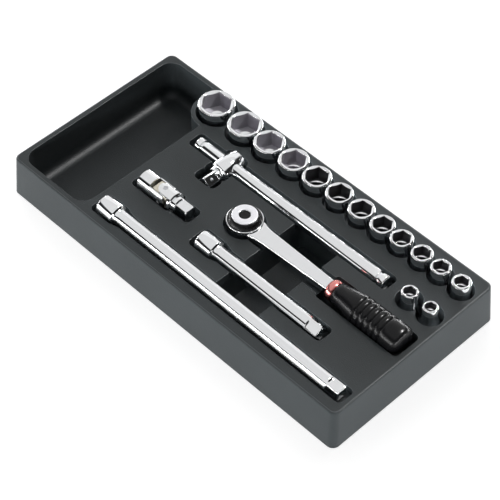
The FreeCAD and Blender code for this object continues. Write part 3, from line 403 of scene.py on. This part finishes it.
def broached(name, colour, roughness):
    """The inside of a socket, drawn along its axis by the broach."""
    finish = Finish(name, Metallic=1.0)
    marks = finish.noise(0.0007, 2, (1, 1, 0.1))
    finish.wear("Base Color", finish.blend(marks, shade(colour, 0.85), colour))
    finish.wear("Roughness", marks * 0.14 + roughness)
    finish.wear("Normal", finish.bump(marks, 0.00001))
    return finish.material


def satin_disc(centre):
    """Steel with the fine rings that facing on a lathe leaves round a centre."""
    finish = Finish("satin_facing", Metallic=1.0)
    middle = finish.node("ShaderNodeMapping", None, {"Vector": finish.place,
                                                     "Location": [-part for part in centre]})["Vector"]
    rings = finish.node("ShaderNodeTexWave", {"wave_type": "RINGS", "rings_direction": "Z",
                                              "wave_profile": "SIN"},
                        {"Vector": middle, "Scale": 700.0, "Distortion": 0.6, "Detail": 2.0})["Fac"]
    finish.wear("Base Color", finish.blend(rings, (0.80, 0.80, 0.84), (0.92, 0.92, 0.95)))
    finish.wear("Roughness", rings * 0.08 + 0.26)
    finish.wear("Normal", finish.bump(rings, 0.000006))
    return finish.material


def blackened():
    """Steel with a black oxide skin."""
    finish = Finish("black_oxide", Metallic=0.0, Specular_IOR_Level=0.25)
    mottle = finish.noise(0.002, 3)
    finish.wear("Base Color", finish.blend(mottle, (0.004, 0.004, 0.0045), (0.009, 0.009, 0.010)))
    finish.wear("Roughness", mottle * 0.12 + 0.22)
    finish.wear("Normal", finish.bump(mottle, 0.00001))
    return finish.material


def red_enamel_painted_light(colour, middle):
    """A metallic red enamel. Its colour deepens towards both ends of the collar as painted shade, so that its
    pale middle stands as a painted highlight.
    """
    finish = Finish("red_enamel_painted_light", Metallic=1.0)
    speck = finish.noise(0.0012, 2)
    along = finish.node("ShaderNodeSeparateXYZ", None, {0: finish.place})["X"] - middle.x
    # Painted shade towards both ends of the collar, leaving its middle pale as a painted highlight.
    deep = along.math("ABSOLUTE").ramp(COLLAR_SHADE_SPAN[0] * MM, COLLAR_SHADE_SPAN[1] * MM)
    deep = (deep + speck * 0.2).math("MINIMUM", 1.0)
    finish.wear("Base Color", finish.blend(deep, colour, PAINTED_SHADE_RED))
    finish.wear("Roughness", speck * 0.1 + 0.18)
    finish.wear("Normal", finish.bump(speck, 0.00002))
    return finish.material


def ribbed_rubber(colour):
    """Black rubber with fine pores and broad smears, which are paler and duller."""
    finish = Finish("moulded_rubber", Specular_IOR_Level=0.25)
    pores = finish.noise(0.0006, 3)
    smears = finish.noise(0.012, 2)
    finish.wear("Base Color", finish.blend(smears, shade(colour, 0.8), shade(colour, 1.4)))
    finish.wear("Roughness", pores * 0.06 + smears * 0.08 + 0.18)
    finish.wear("Normal", finish.bump(pores, 0.00002))
    return finish.material


def finishes(context):
    """The finishes of the whole set, made once."""
    made = context.scene.get("finishes_made")
    if not made:
        settings = context.scene.socket_tray
        middle = sum(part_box("ratchet_disc"), Vector()) / 2
        plated("tool_chrome", settings.tools.chrome, settings.tools.polish)
        turned_steel("machined_steel", colour=(0.52, 0.53, 0.55), low=0.2, high=0.34)
        moulded_plastic(settings.tray, "moulded_charcoal", by=0.9, gloss=0.25, roughness=0.38)
        # The tray's rounded edges get a copy of the plastic twice as light, as a painted highlight. Its
        # higher gloss and lower roughness are real.
        moulded_plastic(settings.tray, "painted_highlight_edge", by=2.0, gloss=1.0, roughness=0.3)
        broached("broached_steel", colour=(0.40, 0.39, 0.42), roughness=0.48)
        # A darker copy of the broached steel for the small sockets' insides: painted shade of their narrow
        # holes.
        broached("painted_shade_bore", colour=(0.11, 0.11, 0.115), roughness=0.3)
        turned_steel("warm_steel", colour=(0.66, 0.62, 0.52), low=0.3, high=0.45)
        satin_disc(middle)
        blackened()
        red_enamel_painted_light(settings.tools.collar, corners("ratchet_collar")[2])
        ribbed_rubber(settings.tools.rubber)
        context.scene["finishes_made"] = True
    return bpy.data.materials


SLOT_FINISHES = {
    "tray_plastic": "moulded_charcoal",
    "chrome": "tool_chrome",
    "plain_steel": "machined_steel",
    "satin_steel": "satin_facing",
    "black_steel": "black_oxide",
    "red_plastic": "red_enamel_painted_light",
    "grip_rubber": "moulded_rubber",
}

# ---------------------------------------------------------------- shaping


def shape_loop(verts, height, radius, sides=0, across=0.0, turn=0.0, sink=0.0):
    """Puts a loop of vertices at a height. With sides, flats across apart cut into the circle, and sink
    lowers the loop by that much for each millimetre that the flats lie inside the circle."""
    step = 2 * math.pi / sides if sides else 0
    for vert in verts:
        angle = math.atan2(vert.co.y, vert.co.x)
        reach = radius
        if sides:
            off = (angle - turn + step / 2) % step - step / 2
            reach = min(radius, across / 2 / math.cos(off))
        vert.co = (reach * math.cos(angle), reach * math.sin(angle), height - sink * (radius - reach))


def skinned(loops, closed=False):
    """Skins a run of loops round Z, each given as shape_loop takes it. A run that isn't closed is capped."""
    bm = bmesh.new()
    verts = bmesh.ops.create_circle(bm, cap_ends=False, radius=1.0, segments=ROUND)["verts"]
    shape_loop(verts, *loops[0])
    first = edges = bm.edges[:]
    for loop in loops[1:]:
        made = bmesh.ops.extrude_edge_only(bm, edges=edges)["geom"]
        fresh = {item for item in made if isinstance(item, bmesh.types.BMVert)}
        shape_loop(fresh, *loop)
        edges = [item for item in made if isinstance(item, bmesh.types.BMEdge) and set(item.verts) <= fresh]
    if closed:
        bmesh.ops.bridge_loops(bm, edges=first + edges)
    else:
        for rim in (first, edges):
            bmesh.ops.edgeloop_fill(bm, edges=rim)
    bmesh.ops.recalc_face_normals(bm, faces=bm.faces[:])
    return bm


def eased(bm, width, least=30.0, fresh=None):
    """Rounds every edge whose faces meet more sharply than least degrees. The new faces can have a
    finish of their own."""
    sharp = [edge for edge in bm.edges
             if len(edge.link_faces) == 2 and edge.calc_face_angle(0) > math.radians(least)]
    made = bmesh.ops.bevel(bm, geom=sharp, offset=width, offset_type="OFFSET", segments=EASING_STEPS,
                           profile=0.5, affect="EDGES", clamp_overlap=True, material=-1)
    if fresh is not None:
        for face in made["faces"]:
            face.material_index = fresh
    return bm


def joined(bm, other):
    """Adds the other mesh's shells to the first."""
    spare = bpy.data.meshes.new("spare")
    other.to_mesh(spare)
    other.free()
    bm.from_mesh(spare)
    bpy.data.meshes.remove(spare)
    return bm


def add_piece(context, bm, name, body, slot, place, replaces, crease=32.0, unit=MM):
    """Makes an object of a mesh, which is in millimetres unless unit says otherwise, moves the mesh to its
    place and rides the object on a body, if one is named."""
    bm.transform(Matrix.Diagonal((unit, unit, unit, 1)))
    bm.transform(place)
    mesh = bpy.data.meshes.new(name)
    bm.to_mesh(mesh)
    bm.free()
    mesh.shade_smooth()
    mesh.set_sharp_from_angle(angle=math.radians(crease))
    piece = bpy.data.objects.new(name, mesh)
    context.scene.collection.objects.link(piece)
    mesh.materials.append(finishes(context)[SLOT_FINISHES[slot]])
    if body:
        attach(piece, body)
    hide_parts(*replaces)
    return piece


def dress(context, node, slot):
    """Gives a CAD node that stays its finish."""
    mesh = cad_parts[node].data
    mesh.materials.clear()
    mesh.materials.append(finishes(context)[SLOT_FINISHES[slot]])


def merged(node):
    """A copy of a CAD node's mesh, in metres, without its double vertices."""
    bm = bmesh.new()
    bm.from_mesh(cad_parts[node].data)
    bmesh.ops.remove_doubles(bm, verts=bm.verts[:], dist=1e-6)
    return bm


def corners(node):
    """The lowest and highest corner of a CAD node and its middle, in metres."""
    low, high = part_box(node)
    return low, high, (low + high) / 2


# ---------------------------------------------------------------- pieces


class TrayOperator(bpy.types.Operator):
    """Eases the edges of the moulded tray and gives it its grain"""
    bl_idname = "mesh.drawer_tray"
    bl_label = "Drawer tray"

    def execute(self, context):
        tray = context.scene.socket_tray.tray
        bm = merged("tray")
        bmesh.ops.dissolve_limit(bm, angle_limit=math.radians(0.5), verts=bm.verts[:], edges=bm.edges[:],
                                 use_dissolve_boundaries=False)
        low, high, _ = corners("tray")
        inner = [edge for edge in bm.edges
                 if all(self.on_inner_rim(vert.co, low, high) for vert in edge.verts)]
        made = bmesh.ops.bevel(bm, geom=inner, offset=tray.lip, offset_type="OFFSET",
                               segments=ROUNDING_STEPS, profile=0.5, affect="EDGES", clamp_overlap=True,
                               material=-1)
        # The lip's rounding and the eased edges take the second finish, whose lighter colour is a painted
        # highlight.
        for face in made["faces"]:
            face.material_index = 1
        eased(bm, tray.edge, least=35, fresh=1)
        for face in bm.faces:
            if abs(face.normal.z) > LEVEL:
                face.material_index = 0
        piece = add_piece(context, bm, "moulded_tray", "tray", "tray_plastic", Matrix(), ["tray"], crease=18,
                          unit=1.0)
        piece.data.materials.append(finishes(context)["painted_highlight_edge"])
        self.flatten(piece.data, high.z - WALLS_OVER_DECK * MM)
        return {"FINISHED"}

    def flatten(self, mesh, above):
        """Keeps the roundings from bending the light on the level faces above a height."""
        bm = bmesh.new()
        bm.from_mesh(mesh)
        for edge in bm.edges:
            level = [face.normal.z > LEVEL and face.calc_center_median().z > above
                     for face in edge.link_faces]
            if any(level) and not all(level):
                edge.smooth = False
        bm.to_mesh(mesh)
        bm.free()

    def on_inner_rim(self, spot, low, high):
        """Whether a spot is on the top of the walls, away from the outline."""
        inset = RIM_INSET * MM
        return (spot.z > high.z - RIM_SLACK * MM and low.x + inset < spot.x < high.x - inset
                and low.y + inset < spot.y < high.y - inset)


class SocketsOperator(bpy.types.Operator):
    """Turns the fourteen sockets, with their hexagon and square holes"""
    bl_idname = "mesh.socket_row"
    bl_label = "Sockets"

    def execute(self, context):
        edge = context.scene.socket_tray.tools.edge
        for nominal, (hex_end, drive_end) in SOCKETS.items():
            node = "socket_%d" % nominal
            low, _, middle = corners(node)
            bm = eased(skinned(self.loops(nominal, hex_end / 2, drive_end / 2), closed=True), edge)
            self.mark_inside(bm, nominal)
            place = Matrix.Translation((middle.x, middle.y, low.z))
            piece = add_piece(context, bm, "chrome_socket_%d" % nominal, node, "chrome", place, [node])
            # Small sockets take the darker copy inside, as painted shade.
            bore_finish = "broached_steel" if nominal >= BRIGHT_FROM else "painted_shade_bore"
            piece.data.materials.append(finishes(context)[bore_finish])
        return {"FINISHED"}

    def floor(self, nominal):
        """Radius of the lip at the hexagon's foot, radius of the bore under it, and the drop between them."""
        if nominal >= LARGE_FROM:
            return LARGE_FLOOR
        lip, bore, drop = SMALL_FLOOR
        return min(lip, nominal / 2 - LIP_WALL), min(bore, nominal / 2 - BORE_WALL), drop

    def loops(self, nominal, upper, lower):
        """A socket's outline, up its outside from the drive end and down through its holes."""
        top = SOCKET_HEIGHT
        mouth = nominal / math.sqrt(3) + HEX_CORNER_GAP
        hexagon = (6, nominal, HEX_TURN)
        foot = top - min(DEEPEST_HEX, HEX_DEPTH * nominal)
        lip, bore, drop = self.floor(nominal)
        return [
            (0, lower - SOCKET_CHAMFER),
            (SOCKET_CHAMFER, lower),
            (SOCKET_CONE[0], lower),
            (SOCKET_CONE[1], upper),
            (top - SOCKET_CHAMFER, upper),
            (top, upper - SOCKET_CHAMFER),
            (top, mouth),
            (top, mouth, *hexagon, HEX_MOUTH_SLOPE),
            (foot, mouth, *hexagon),
            (foot, lip),
            (foot - drop, bore),
            (FEMALE_DEPTH, bore),
            (FEMALE_DEPTH, SHARP, 4, FEMALE_DRIVE),
            (0, SHARP, 4, FEMALE_DRIVE),
        ]

    def mark_inside(self, bm, nominal):
        """Gives the inside its own finish, below the chamfered mouth and apart from the bright lip."""
        lip = self.floor(nominal)[0]
        for face in bm.faces:
            spot = face.calc_center_median()
            out = Vector(spot.xy).length
            on_lip = LIP_TILT[0] < face.normal.z < LIP_TILT[1] and out < lip + LIP_MARGIN
            inward = (face.normal.x * spot.x + face.normal.y * spot.y < 0
                      or out < nominal / math.sqrt(3))
            within = SOCKET_HEIGHT - MOUTH_DEPTH > spot.z > FEMALE_DEPTH - SQUARE_MARGIN
            face.material_index = int(within and inward and not on_lip)


def male_drive(shoulder, reach):
    """The loops of a drive square that leaves a round neck, whose radius is reach, at a shoulder."""
    tip = shoulder + DRIVE_LENGTH
    return [
        (shoulder - DRIVE_CONE, reach),
        (shoulder, DRIVE_CORNER, 4, DRIVE),
        (tip - CHAMFER, DRIVE_CORNER, 4, DRIVE),
        (tip, DRIVE_CORNER - CHAMFER, 4, DRIVE - DRIVE_TAPER),
    ]


def female_drive(outer):
    """The loops of a square hole and the chamfered mouth round it."""
    return [
        (FEMALE_DEPTH, SHARP, 4, FEMALE_DRIVE),
        (0, SHARP, 4, FEMALE_DRIVE),
        (0, outer - FEMALE_CHAMFER),
        (FEMALE_CHAMFER, outer),
    ]


class ExtensionsOperator(bpy.types.Operator):
    """Turns the long and the short extension bar"""
    bl_idname = "mesh.extension_bars"
    bl_label = "Extension bars"

    def execute(self, context):
        for label, (length, roll) in EXTENSIONS.items():
            node = label + "_bar"
            low, _, middle = corners(node)
            bm = skinned(female_drive(EXTENSION_HEAD) + EXTENSION_NECK
                         + male_drive(length - DRIVE_LENGTH, EXTENSION_RADIUS))
            eased(bm, context.scene.socket_tray.tools.edge)
            place = (Matrix.Translation((low.x, middle.y, middle.z))
                     @ Matrix.Rotation(math.radians(roll), 4, "X") @ ALONG_X)
            add_piece(context, bm, "chrome_%s_extension" % label, label + "_extension", "chrome", place,
                      [node])
            dress(context, label + "_ball", "plain_steel")
        return {"FINISHED"}


class JointOperator(bpy.types.Operator):
    """Gives the universal joint its finish and the full length of its block"""
    bl_idname = "mesh.universal_joint"
    bl_label = "Universal joint"

    def execute(self, context):
        for node in ("joint_socket_yoke", "joint_drive_yoke"):
            dress(context, node, "chrome")
        for node in ("joint_pin_across", "joint_pin_upper", "joint_pin_lower", "joint_ball"):
            dress(context, node, "plain_steel")
        middle = corners("joint_block")[2]
        block = merged("joint_block")
        for vert in block.verts:
            if vert.co.x < middle.x - BLOCK_END * MM:
                vert.co.x -= BLOCK_STRETCH * MM
        piece = add_piece(context, block, "long_joint_block", "joint_centre", "plain_steel", Matrix(),
                          ["joint_block"], unit=1.0)
        piece.data.materials[0] = finishes(context)["warm_steel"]
        return {"FINISHED"}


class SlidingHandleOperator(bpy.types.Operator):
    """Turns the sliding T-handle's bar and gives its slider a new drive square"""
    bl_idname = "mesh.sliding_handle"
    bl_label = "Sliding T-handle"

    def execute(self, context):
        low, _, middle = corners("tee_bar")
        near, far = TEE_GROOVE
        floor = TEE_RADIUS - TEE_GROOVE_DEPTH
        end = [(0, TEE_RADIUS - CHAMFER), (CHAMFER, TEE_RADIUS), (near, TEE_RADIUS), (near, floor),
               (far, floor), (far, TEE_RADIUS)]
        bm = skinned(end + [(TEE_LENGTH - height, radius) for height, radius in reversed(end)])
        eased(bm, context.scene.socket_tray.tools.edge * TEE_EASING)
        place = Matrix.Translation((low.x, middle.y, middle.z)) @ ALONG_X
        add_piece(context, bm, "chrome_tee_bar", "t_handle", "chrome", place, ["tee_bar"])
        self.slider(context)
        return {"FINISHED"}

    def slider(self, context):
        """The slider, with its drive square and detent ball turned an eighth round its axis."""
        low, _, middle = corners("tee_slider")
        shoulder = low.y + DRIVE_LENGTH * MM
        bm = merged("tee_slider")
        cut = bmesh.ops.bisect_plane(bm, geom=bm.verts[:] + bm.edges[:] + bm.faces[:], dist=1e-7,
                                     plane_co=(0, shoulder + SLIDER_CUT * MM, 0), plane_no=(0, -1, 0),
                                     clear_outer=True)
        rim = [item for item in cut["geom_cut"] if isinstance(item, bmesh.types.BMEdge)]
        bmesh.ops.edgeloop_fill(bm, edges=rim)
        drive = eased(skinned(male_drive(0.0, SLIDER_NECK)), context.scene.socket_tray.tools.edge)
        drive.transform(Matrix.Translation((middle.x, shoulder, middle.z)) @ ALONG_FRONT
                        @ Matrix.Rotation(EIGHTH, 4, "Z") @ Matrix.Diagonal((MM, MM, MM, 1)))
        joined(bm, drive)
        bmesh.ops.recalc_face_normals(bm, faces=bm.faces[:])
        add_piece(context, bm, "chrome_tee_slider", "slider", "chrome", Matrix(), ["tee_slider"], unit=1.0)
        turn = Matrix.Translation(middle) @ Matrix.Rotation(-EIGHTH, 4, "Y") @ Matrix.Translation(-middle)
        add_piece(context, merged("tee_ball"), "turned_tee_ball", "slider_detent", "plain_steel", turn,
                  ["tee_ball"], unit=1.0)


class RatchetOperator(bpy.types.Operator):
    """Builds the round-head ratchet: head and shank, ring, disc, button, spring, collar and grip"""
    bl_idname = "mesh.round_ratchet"
    bl_label = "Ratchet"

    def execute(self, context):
        _, high, middle = corners("ratchet_disc")
        axis = Vector((middle.x, middle.y, high.z - DISC_TOP * MM))
        tools = context.scene.socket_tray.tools
        self.handle(context, axis, tools.edge)
        self.controls(context, axis, tools.edge)
        self.grip(context, axis)
        self.spring(context)
        for node in ("ratchet_gear", "ratchet_pawl", "pawl_pin", "ratchet_ball"):
            dress(context, node, "plain_steel")
        return {"FINISHED"}

    def spring(self, context):
        """The spring under the button, with its mesh moved to where it stands."""
        piece = add_piece(context, merged("button_spring"), "coiled_button_spring", None, "plain_steel",
                          Matrix(), ["button_spring"], unit=1.0)
        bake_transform(piece)

    def handle(self, context, axis, edge):
        """The head, with a black band painted as the shade of the gap at its rim, and the shank in one piece.
        """
        head = skinned(HEAD_PROFILE, closed=True)
        # The band's faces take the black oxide as painted shade of the gap; the head is chrome all round.
        for face in head.faces:
            spot = face.calc_center_median()
            in_gap_shade = GAP_SHADE_HEIGHTS[0] < spot.z < GAP_SHADE_HEIGHTS[1] and Vector(spot.xy).length > GAP_SHADE_RADIUS
            face.material_index = int(in_gap_shade)
        eased(head, edge)
        piece = add_piece(context, joined(head, self.shank()), "chrome_ratchet_handle", "ratchet", "chrome",
                          Matrix.Translation(axis), ["ratchet_handle"])
        piece.data.materials.append(finishes(context)["black_oxide"])

    def shank(self):
        """A flat bar that narrows and thickens towards the grip and flares into the head."""
        bm = bmesh.new()
        bmesh.ops.create_cube(bm, size=1.0)
        for vert in bm.verts:
            vert.co.x = SHANK_START if vert.co.x < 0 else SHANK_END
        bmesh.ops.subdivide_edges(bm, edges=self.lengthwise(bm), cuts=SHANK_CUTS, use_grid_fill=True)
        for vert in bm.verts:
            along = vert.co.x / SHANK_END
            half = self.between(SHANK_HALF_WIDTH, along)
            flare = max(0.0, (FLARE_END - vert.co.x) / FLARE_LENGTH)
            half += FLARE_WIDTH * flare ** FLARE_POWER
            thick = self.between(SHANK_HALF_HEIGHT, along)
            vert.co.y = math.copysign(half, vert.co.y)
            vert.co.z = math.copysign(thick, vert.co.z)
        bmesh.ops.bevel(bm, geom=self.lengthwise(bm), offset=SHANK_ROUNDING, offset_type="OFFSET",
                        segments=ROUNDING_STEPS, profile=0.5, affect="EDGES", clamp_overlap=True, material=-1)
        return bm

    def between(self, ends, share):
        """The number a share of the way from the first of two to the second."""
        return ends[0] + (ends[1] - ends[0]) * share

    def lengthwise(self, bm):
        """The edges that run along X."""
        return [edge for edge in bm.edges if abs(edge.verts[0].co.x - edge.verts[1].co.x) > 0.5]

    def controls(self, context, axis, edge):
        """The reversing ring and the disc that turns with it, round the release button."""
        place = Matrix.Translation(axis)
        ring = skinned(RING_PROFILE, closed=True)
        add_piece(context, eased(ring, edge), "black_reversing_ring", "reverser", "black_steel", place,
                  ["reversing_ring"])
        disc = skinned(DISC_PROFILE, closed=True)
        add_piece(context, eased(disc, edge * DISC_EASING), "satin_cover_disc", "reverser", "satin_steel",
                  place, ["ratchet_disc"])
        dress(context, "release_button", "black_steel")

    def grip(self, context, axis):
        """The collar at the shank's end, and the grip behind it."""
        start = axis + Vector((SHANK_END * MM, 0, 0))
        collar = skinned(COLLAR_PROFILE, closed=True)
        add_piece(context, eased(collar, COLLAR_EDGE), "red_collar", "ratchet", "red_plastic",
                  Matrix.Translation(start) @ ALONG_X, ["ratchet_collar"])
        grooves = [(FIRST_GROOVE + GROOVE_PITCH * count + offset, radius)
                   for count in range(GRIP_GROOVES) for offset, radius in GROOVE_PROFILE]
        bm = skinned(GRIP_SWELL + grooves + GRIP_END)
        place = Matrix.Translation(start + Vector((COLLAR_LENGTH * MM, 0, 0))) @ ALONG_X
        add_piece(context, bm, "rubber_grip", "ratchet", "grip_rubber", place, ["ratchet_grip"], crease=50)


class StudioOperator(bpy.types.Operator):
    """Lays the floor and sets up the lamps and the camera"""
    bl_idname = "scene.tray_studio"
    bl_label = "Studio"

    def execute(self, context):
        studio = context.scene.socket_tray.studio
        self.floor(context)
        self.lamps(context)
        self.surroundings(context)
        context.scene.view_settings.view_transform = "Standard"
        level = math.cos(studio.elevation)
        away = Vector((level * math.cos(studio.azimuth), level * math.sin(studio.azimuth),
                       math.sin(studio.elevation)))
        lens = bpy.data.cameras.new("tray_camera")
        lens.lens = studio.lens
        lens.sensor_width = 36.0
        lens.clip_end = 50.0
        camera = bpy.data.objects.new("tray_camera", lens)
        camera.location = CAMERA_TARGET + away * studio.distance
        camera.rotation_euler = away.to_track_quat("Z", "Y").to_euler()
        context.scene.collection.objects.link(camera)
        context.scene.camera = camera
        return {"FINISHED"}

    def floor(self, context):
        """White paper. It glows to the camera and in reflections only, so that it stays white round the
        tray's shadow."""
        bm = bmesh.new()
        bmesh.ops.create_circle(bm, cap_ends=True, radius=FLOOR_RADIUS, segments=96)
        mesh = bpy.data.meshes.new("studio_floor")
        bm.to_mesh(mesh)
        bm.free()
        floor = bpy.data.objects.new("studio_floor", mesh)
        context.scene.collection.objects.link(floor)
        paper = Finish("white_paper", Roughness=0.9, Specular_IOR_Level=0.0, Emission_Strength=PAPER_GLOW)
        paths = paper.node("ShaderNodeLightPath")
        seen = paths["Is Camera Ray"].either(paths["Is Glossy Ray"]).either(paths["Is Transmission Ray"])
        paper.wear("Base Color", (PAPER_WHITE, PAPER_WHITE, PAPER_WHITE, 1))
        paper.wear("Emission Color", paper.blend(seen, (0, 0, 0), (1, 1, 1)))
        mesh.materials.append(paper.material)

    def lamps(self, context):
        """Low strips all round that light the tray's outer walls, and one softbox high behind on the right
        that only glints in what is glossy."""
        for name, turn, height, watts in STRIPS:
            way = Vector((math.cos(math.radians(turn)), math.sin(math.radians(turn)), 0))
            self.lamp(context, name, way, way * STRIP_DISTANCE + Vector((0, 0, height)), STRIP_SIZE, watts)
        softbox = self.lamp(context, "high_softbox", SOFTBOX_PLACE, SOFTBOX_PLACE, SOFTBOX_SIZE,
                            SOFTBOX_WATTS)
        softbox.visible_diffuse = False

    def lamp(self, context, name, way, spot, size, watts):
        """A flat lamp at a spot, which shines against way."""
        light = bpy.data.lights.new(name, "AREA")
        light.shape = "RECTANGLE"
        light.size, light.size_y = size
        light.energy = watts
        holder = bpy.data.objects.new(name, light)
        holder.location = spot
        holder.rotation_euler = way.to_track_quat("Z", "Y").to_euler()
        context.scene.collection.objects.link(holder)
        return holder

    def surroundings(self, context):
        """A broad soft light from behind and above. Bright things show the pale room round it."""
        world = bpy.data.worlds.new("pale_room")
        world.use_nodes = True
        context.scene.world = world
        room = Graph(world.node_tree)
        way = room.place["Generated"]
        height = room.node("ShaderNodeSeparateXYZ", None, {0: way})["Z"]
        front = room.node("ShaderNodeSeparateXYZ", None, {0: way})["Y"] * -1
        behind = self.towards(room, way, self.backlight())
        right = self.towards(room, way, RIGHT_WAY)
        left = self.towards(room, way, LEFT_WAY)
        lit = behind.either(0.0) ** BACKLIGHT_FOCUS * BACKLIGHT_STRENGTH + FILL_STRENGTH
        high = height.ramp(*OVERHEAD)
        gap = (height.ramp(*GAP_FOOT) - high) * front.ramp(*GAP_FRONT)
        dark_side = (1 - height.ramp(*DARK_SIDE_TOP)) * right.ramp(*DARK_SIDE)
        bright_side = (1 - height.ramp(*BRIGHT_SIDE_TOP)) * left.ramp(*BRIGHT_SIDE)
        shown = ((1 - high * OVERHEAD_LOSS + bright_side * BRIGHT_SIDE_GAIN)
                 * (1 - gap.either(dark_side) * DARK_LOSS))
        paths = room.node("ShaderNodeLightPath")
        bright = paths["Is Glossy Ray"].either(paths["Is Transmission Ray"])
        strength = bright * shown + (1 - bright) * lit
        camera = paths["Is Camera Ray"]
        strength = camera + (1 - camera) * strength
        light = room.nodes["Background"]
        room.feed(light.inputs["Color"], (1, 1, 1, 1))
        room.feed(light.inputs["Strength"], strength)

    def towards(self, room, way, side):
        """How far a way points to one side of the room, 1 being straight at it."""
        return room.node("ShaderNodeVectorMath", {"operation": "DOT_PRODUCT"}, {0: way, 1: side})["Value"]

    def backlight(self):
        """The way that the broad light behind the tray comes from."""
        level = math.cos(BACKLIGHT_RISE)
        return (level * math.cos(BACKLIGHT_TURN), level * math.sin(BACKLIGHT_TURN), math.sin(BACKLIGHT_RISE))


class SocketTrayPanel(bpy.types.Panel):
    bl_idname = "VIEW3D_PT_socket_tray"
    bl_label = "Socket Tray"
    bl_space_type = "VIEW_3D"
    bl_region_type = "UI"
    bl_category = "Socket Tray"

    def draw(self, context):
        settings = context.scene.socket_tray
        for operator in PIECES:
            self.layout.operator(operator.bl_idname)
        for group in (settings.tray, settings.tools, settings.studio):
            box = self.layout.box()
            for name in group.bl_rna.properties.keys():
                if name not in ("rna_type", "name"):
                    box.prop(group, name)


PIECES = (TrayOperator, SocketsOperator, ExtensionsOperator, JointOperator, SlidingHandleOperator,
          RatchetOperator, StudioOperator)
CLASSES = (TraySettings, ToolSettings, StudioSettings, SocketTraySettings, *PIECES, SocketTrayPanel)


def register():
    for cls in CLASSES:
        bpy.utils.register_class(cls)
    bpy.types.Scene.socket_tray = PointerProperty(type=SocketTraySettings)


def unregister():
    del bpy.types.Scene.socket_tray
    for cls in reversed(CLASSES):
        bpy.utils.unregister_class(cls)


def main():
    register()
    bpy.ops.mesh.drawer_tray()
    bpy.ops.mesh.socket_row()
    bpy.ops.mesh.extension_bars()
    bpy.ops.mesh.universal_joint()
    bpy.ops.mesh.sliding_handle()
    bpy.ops.mesh.round_ratchet()
    bpy.ops.scene.tray_studio()


if __name__ == "__main__":
    main()
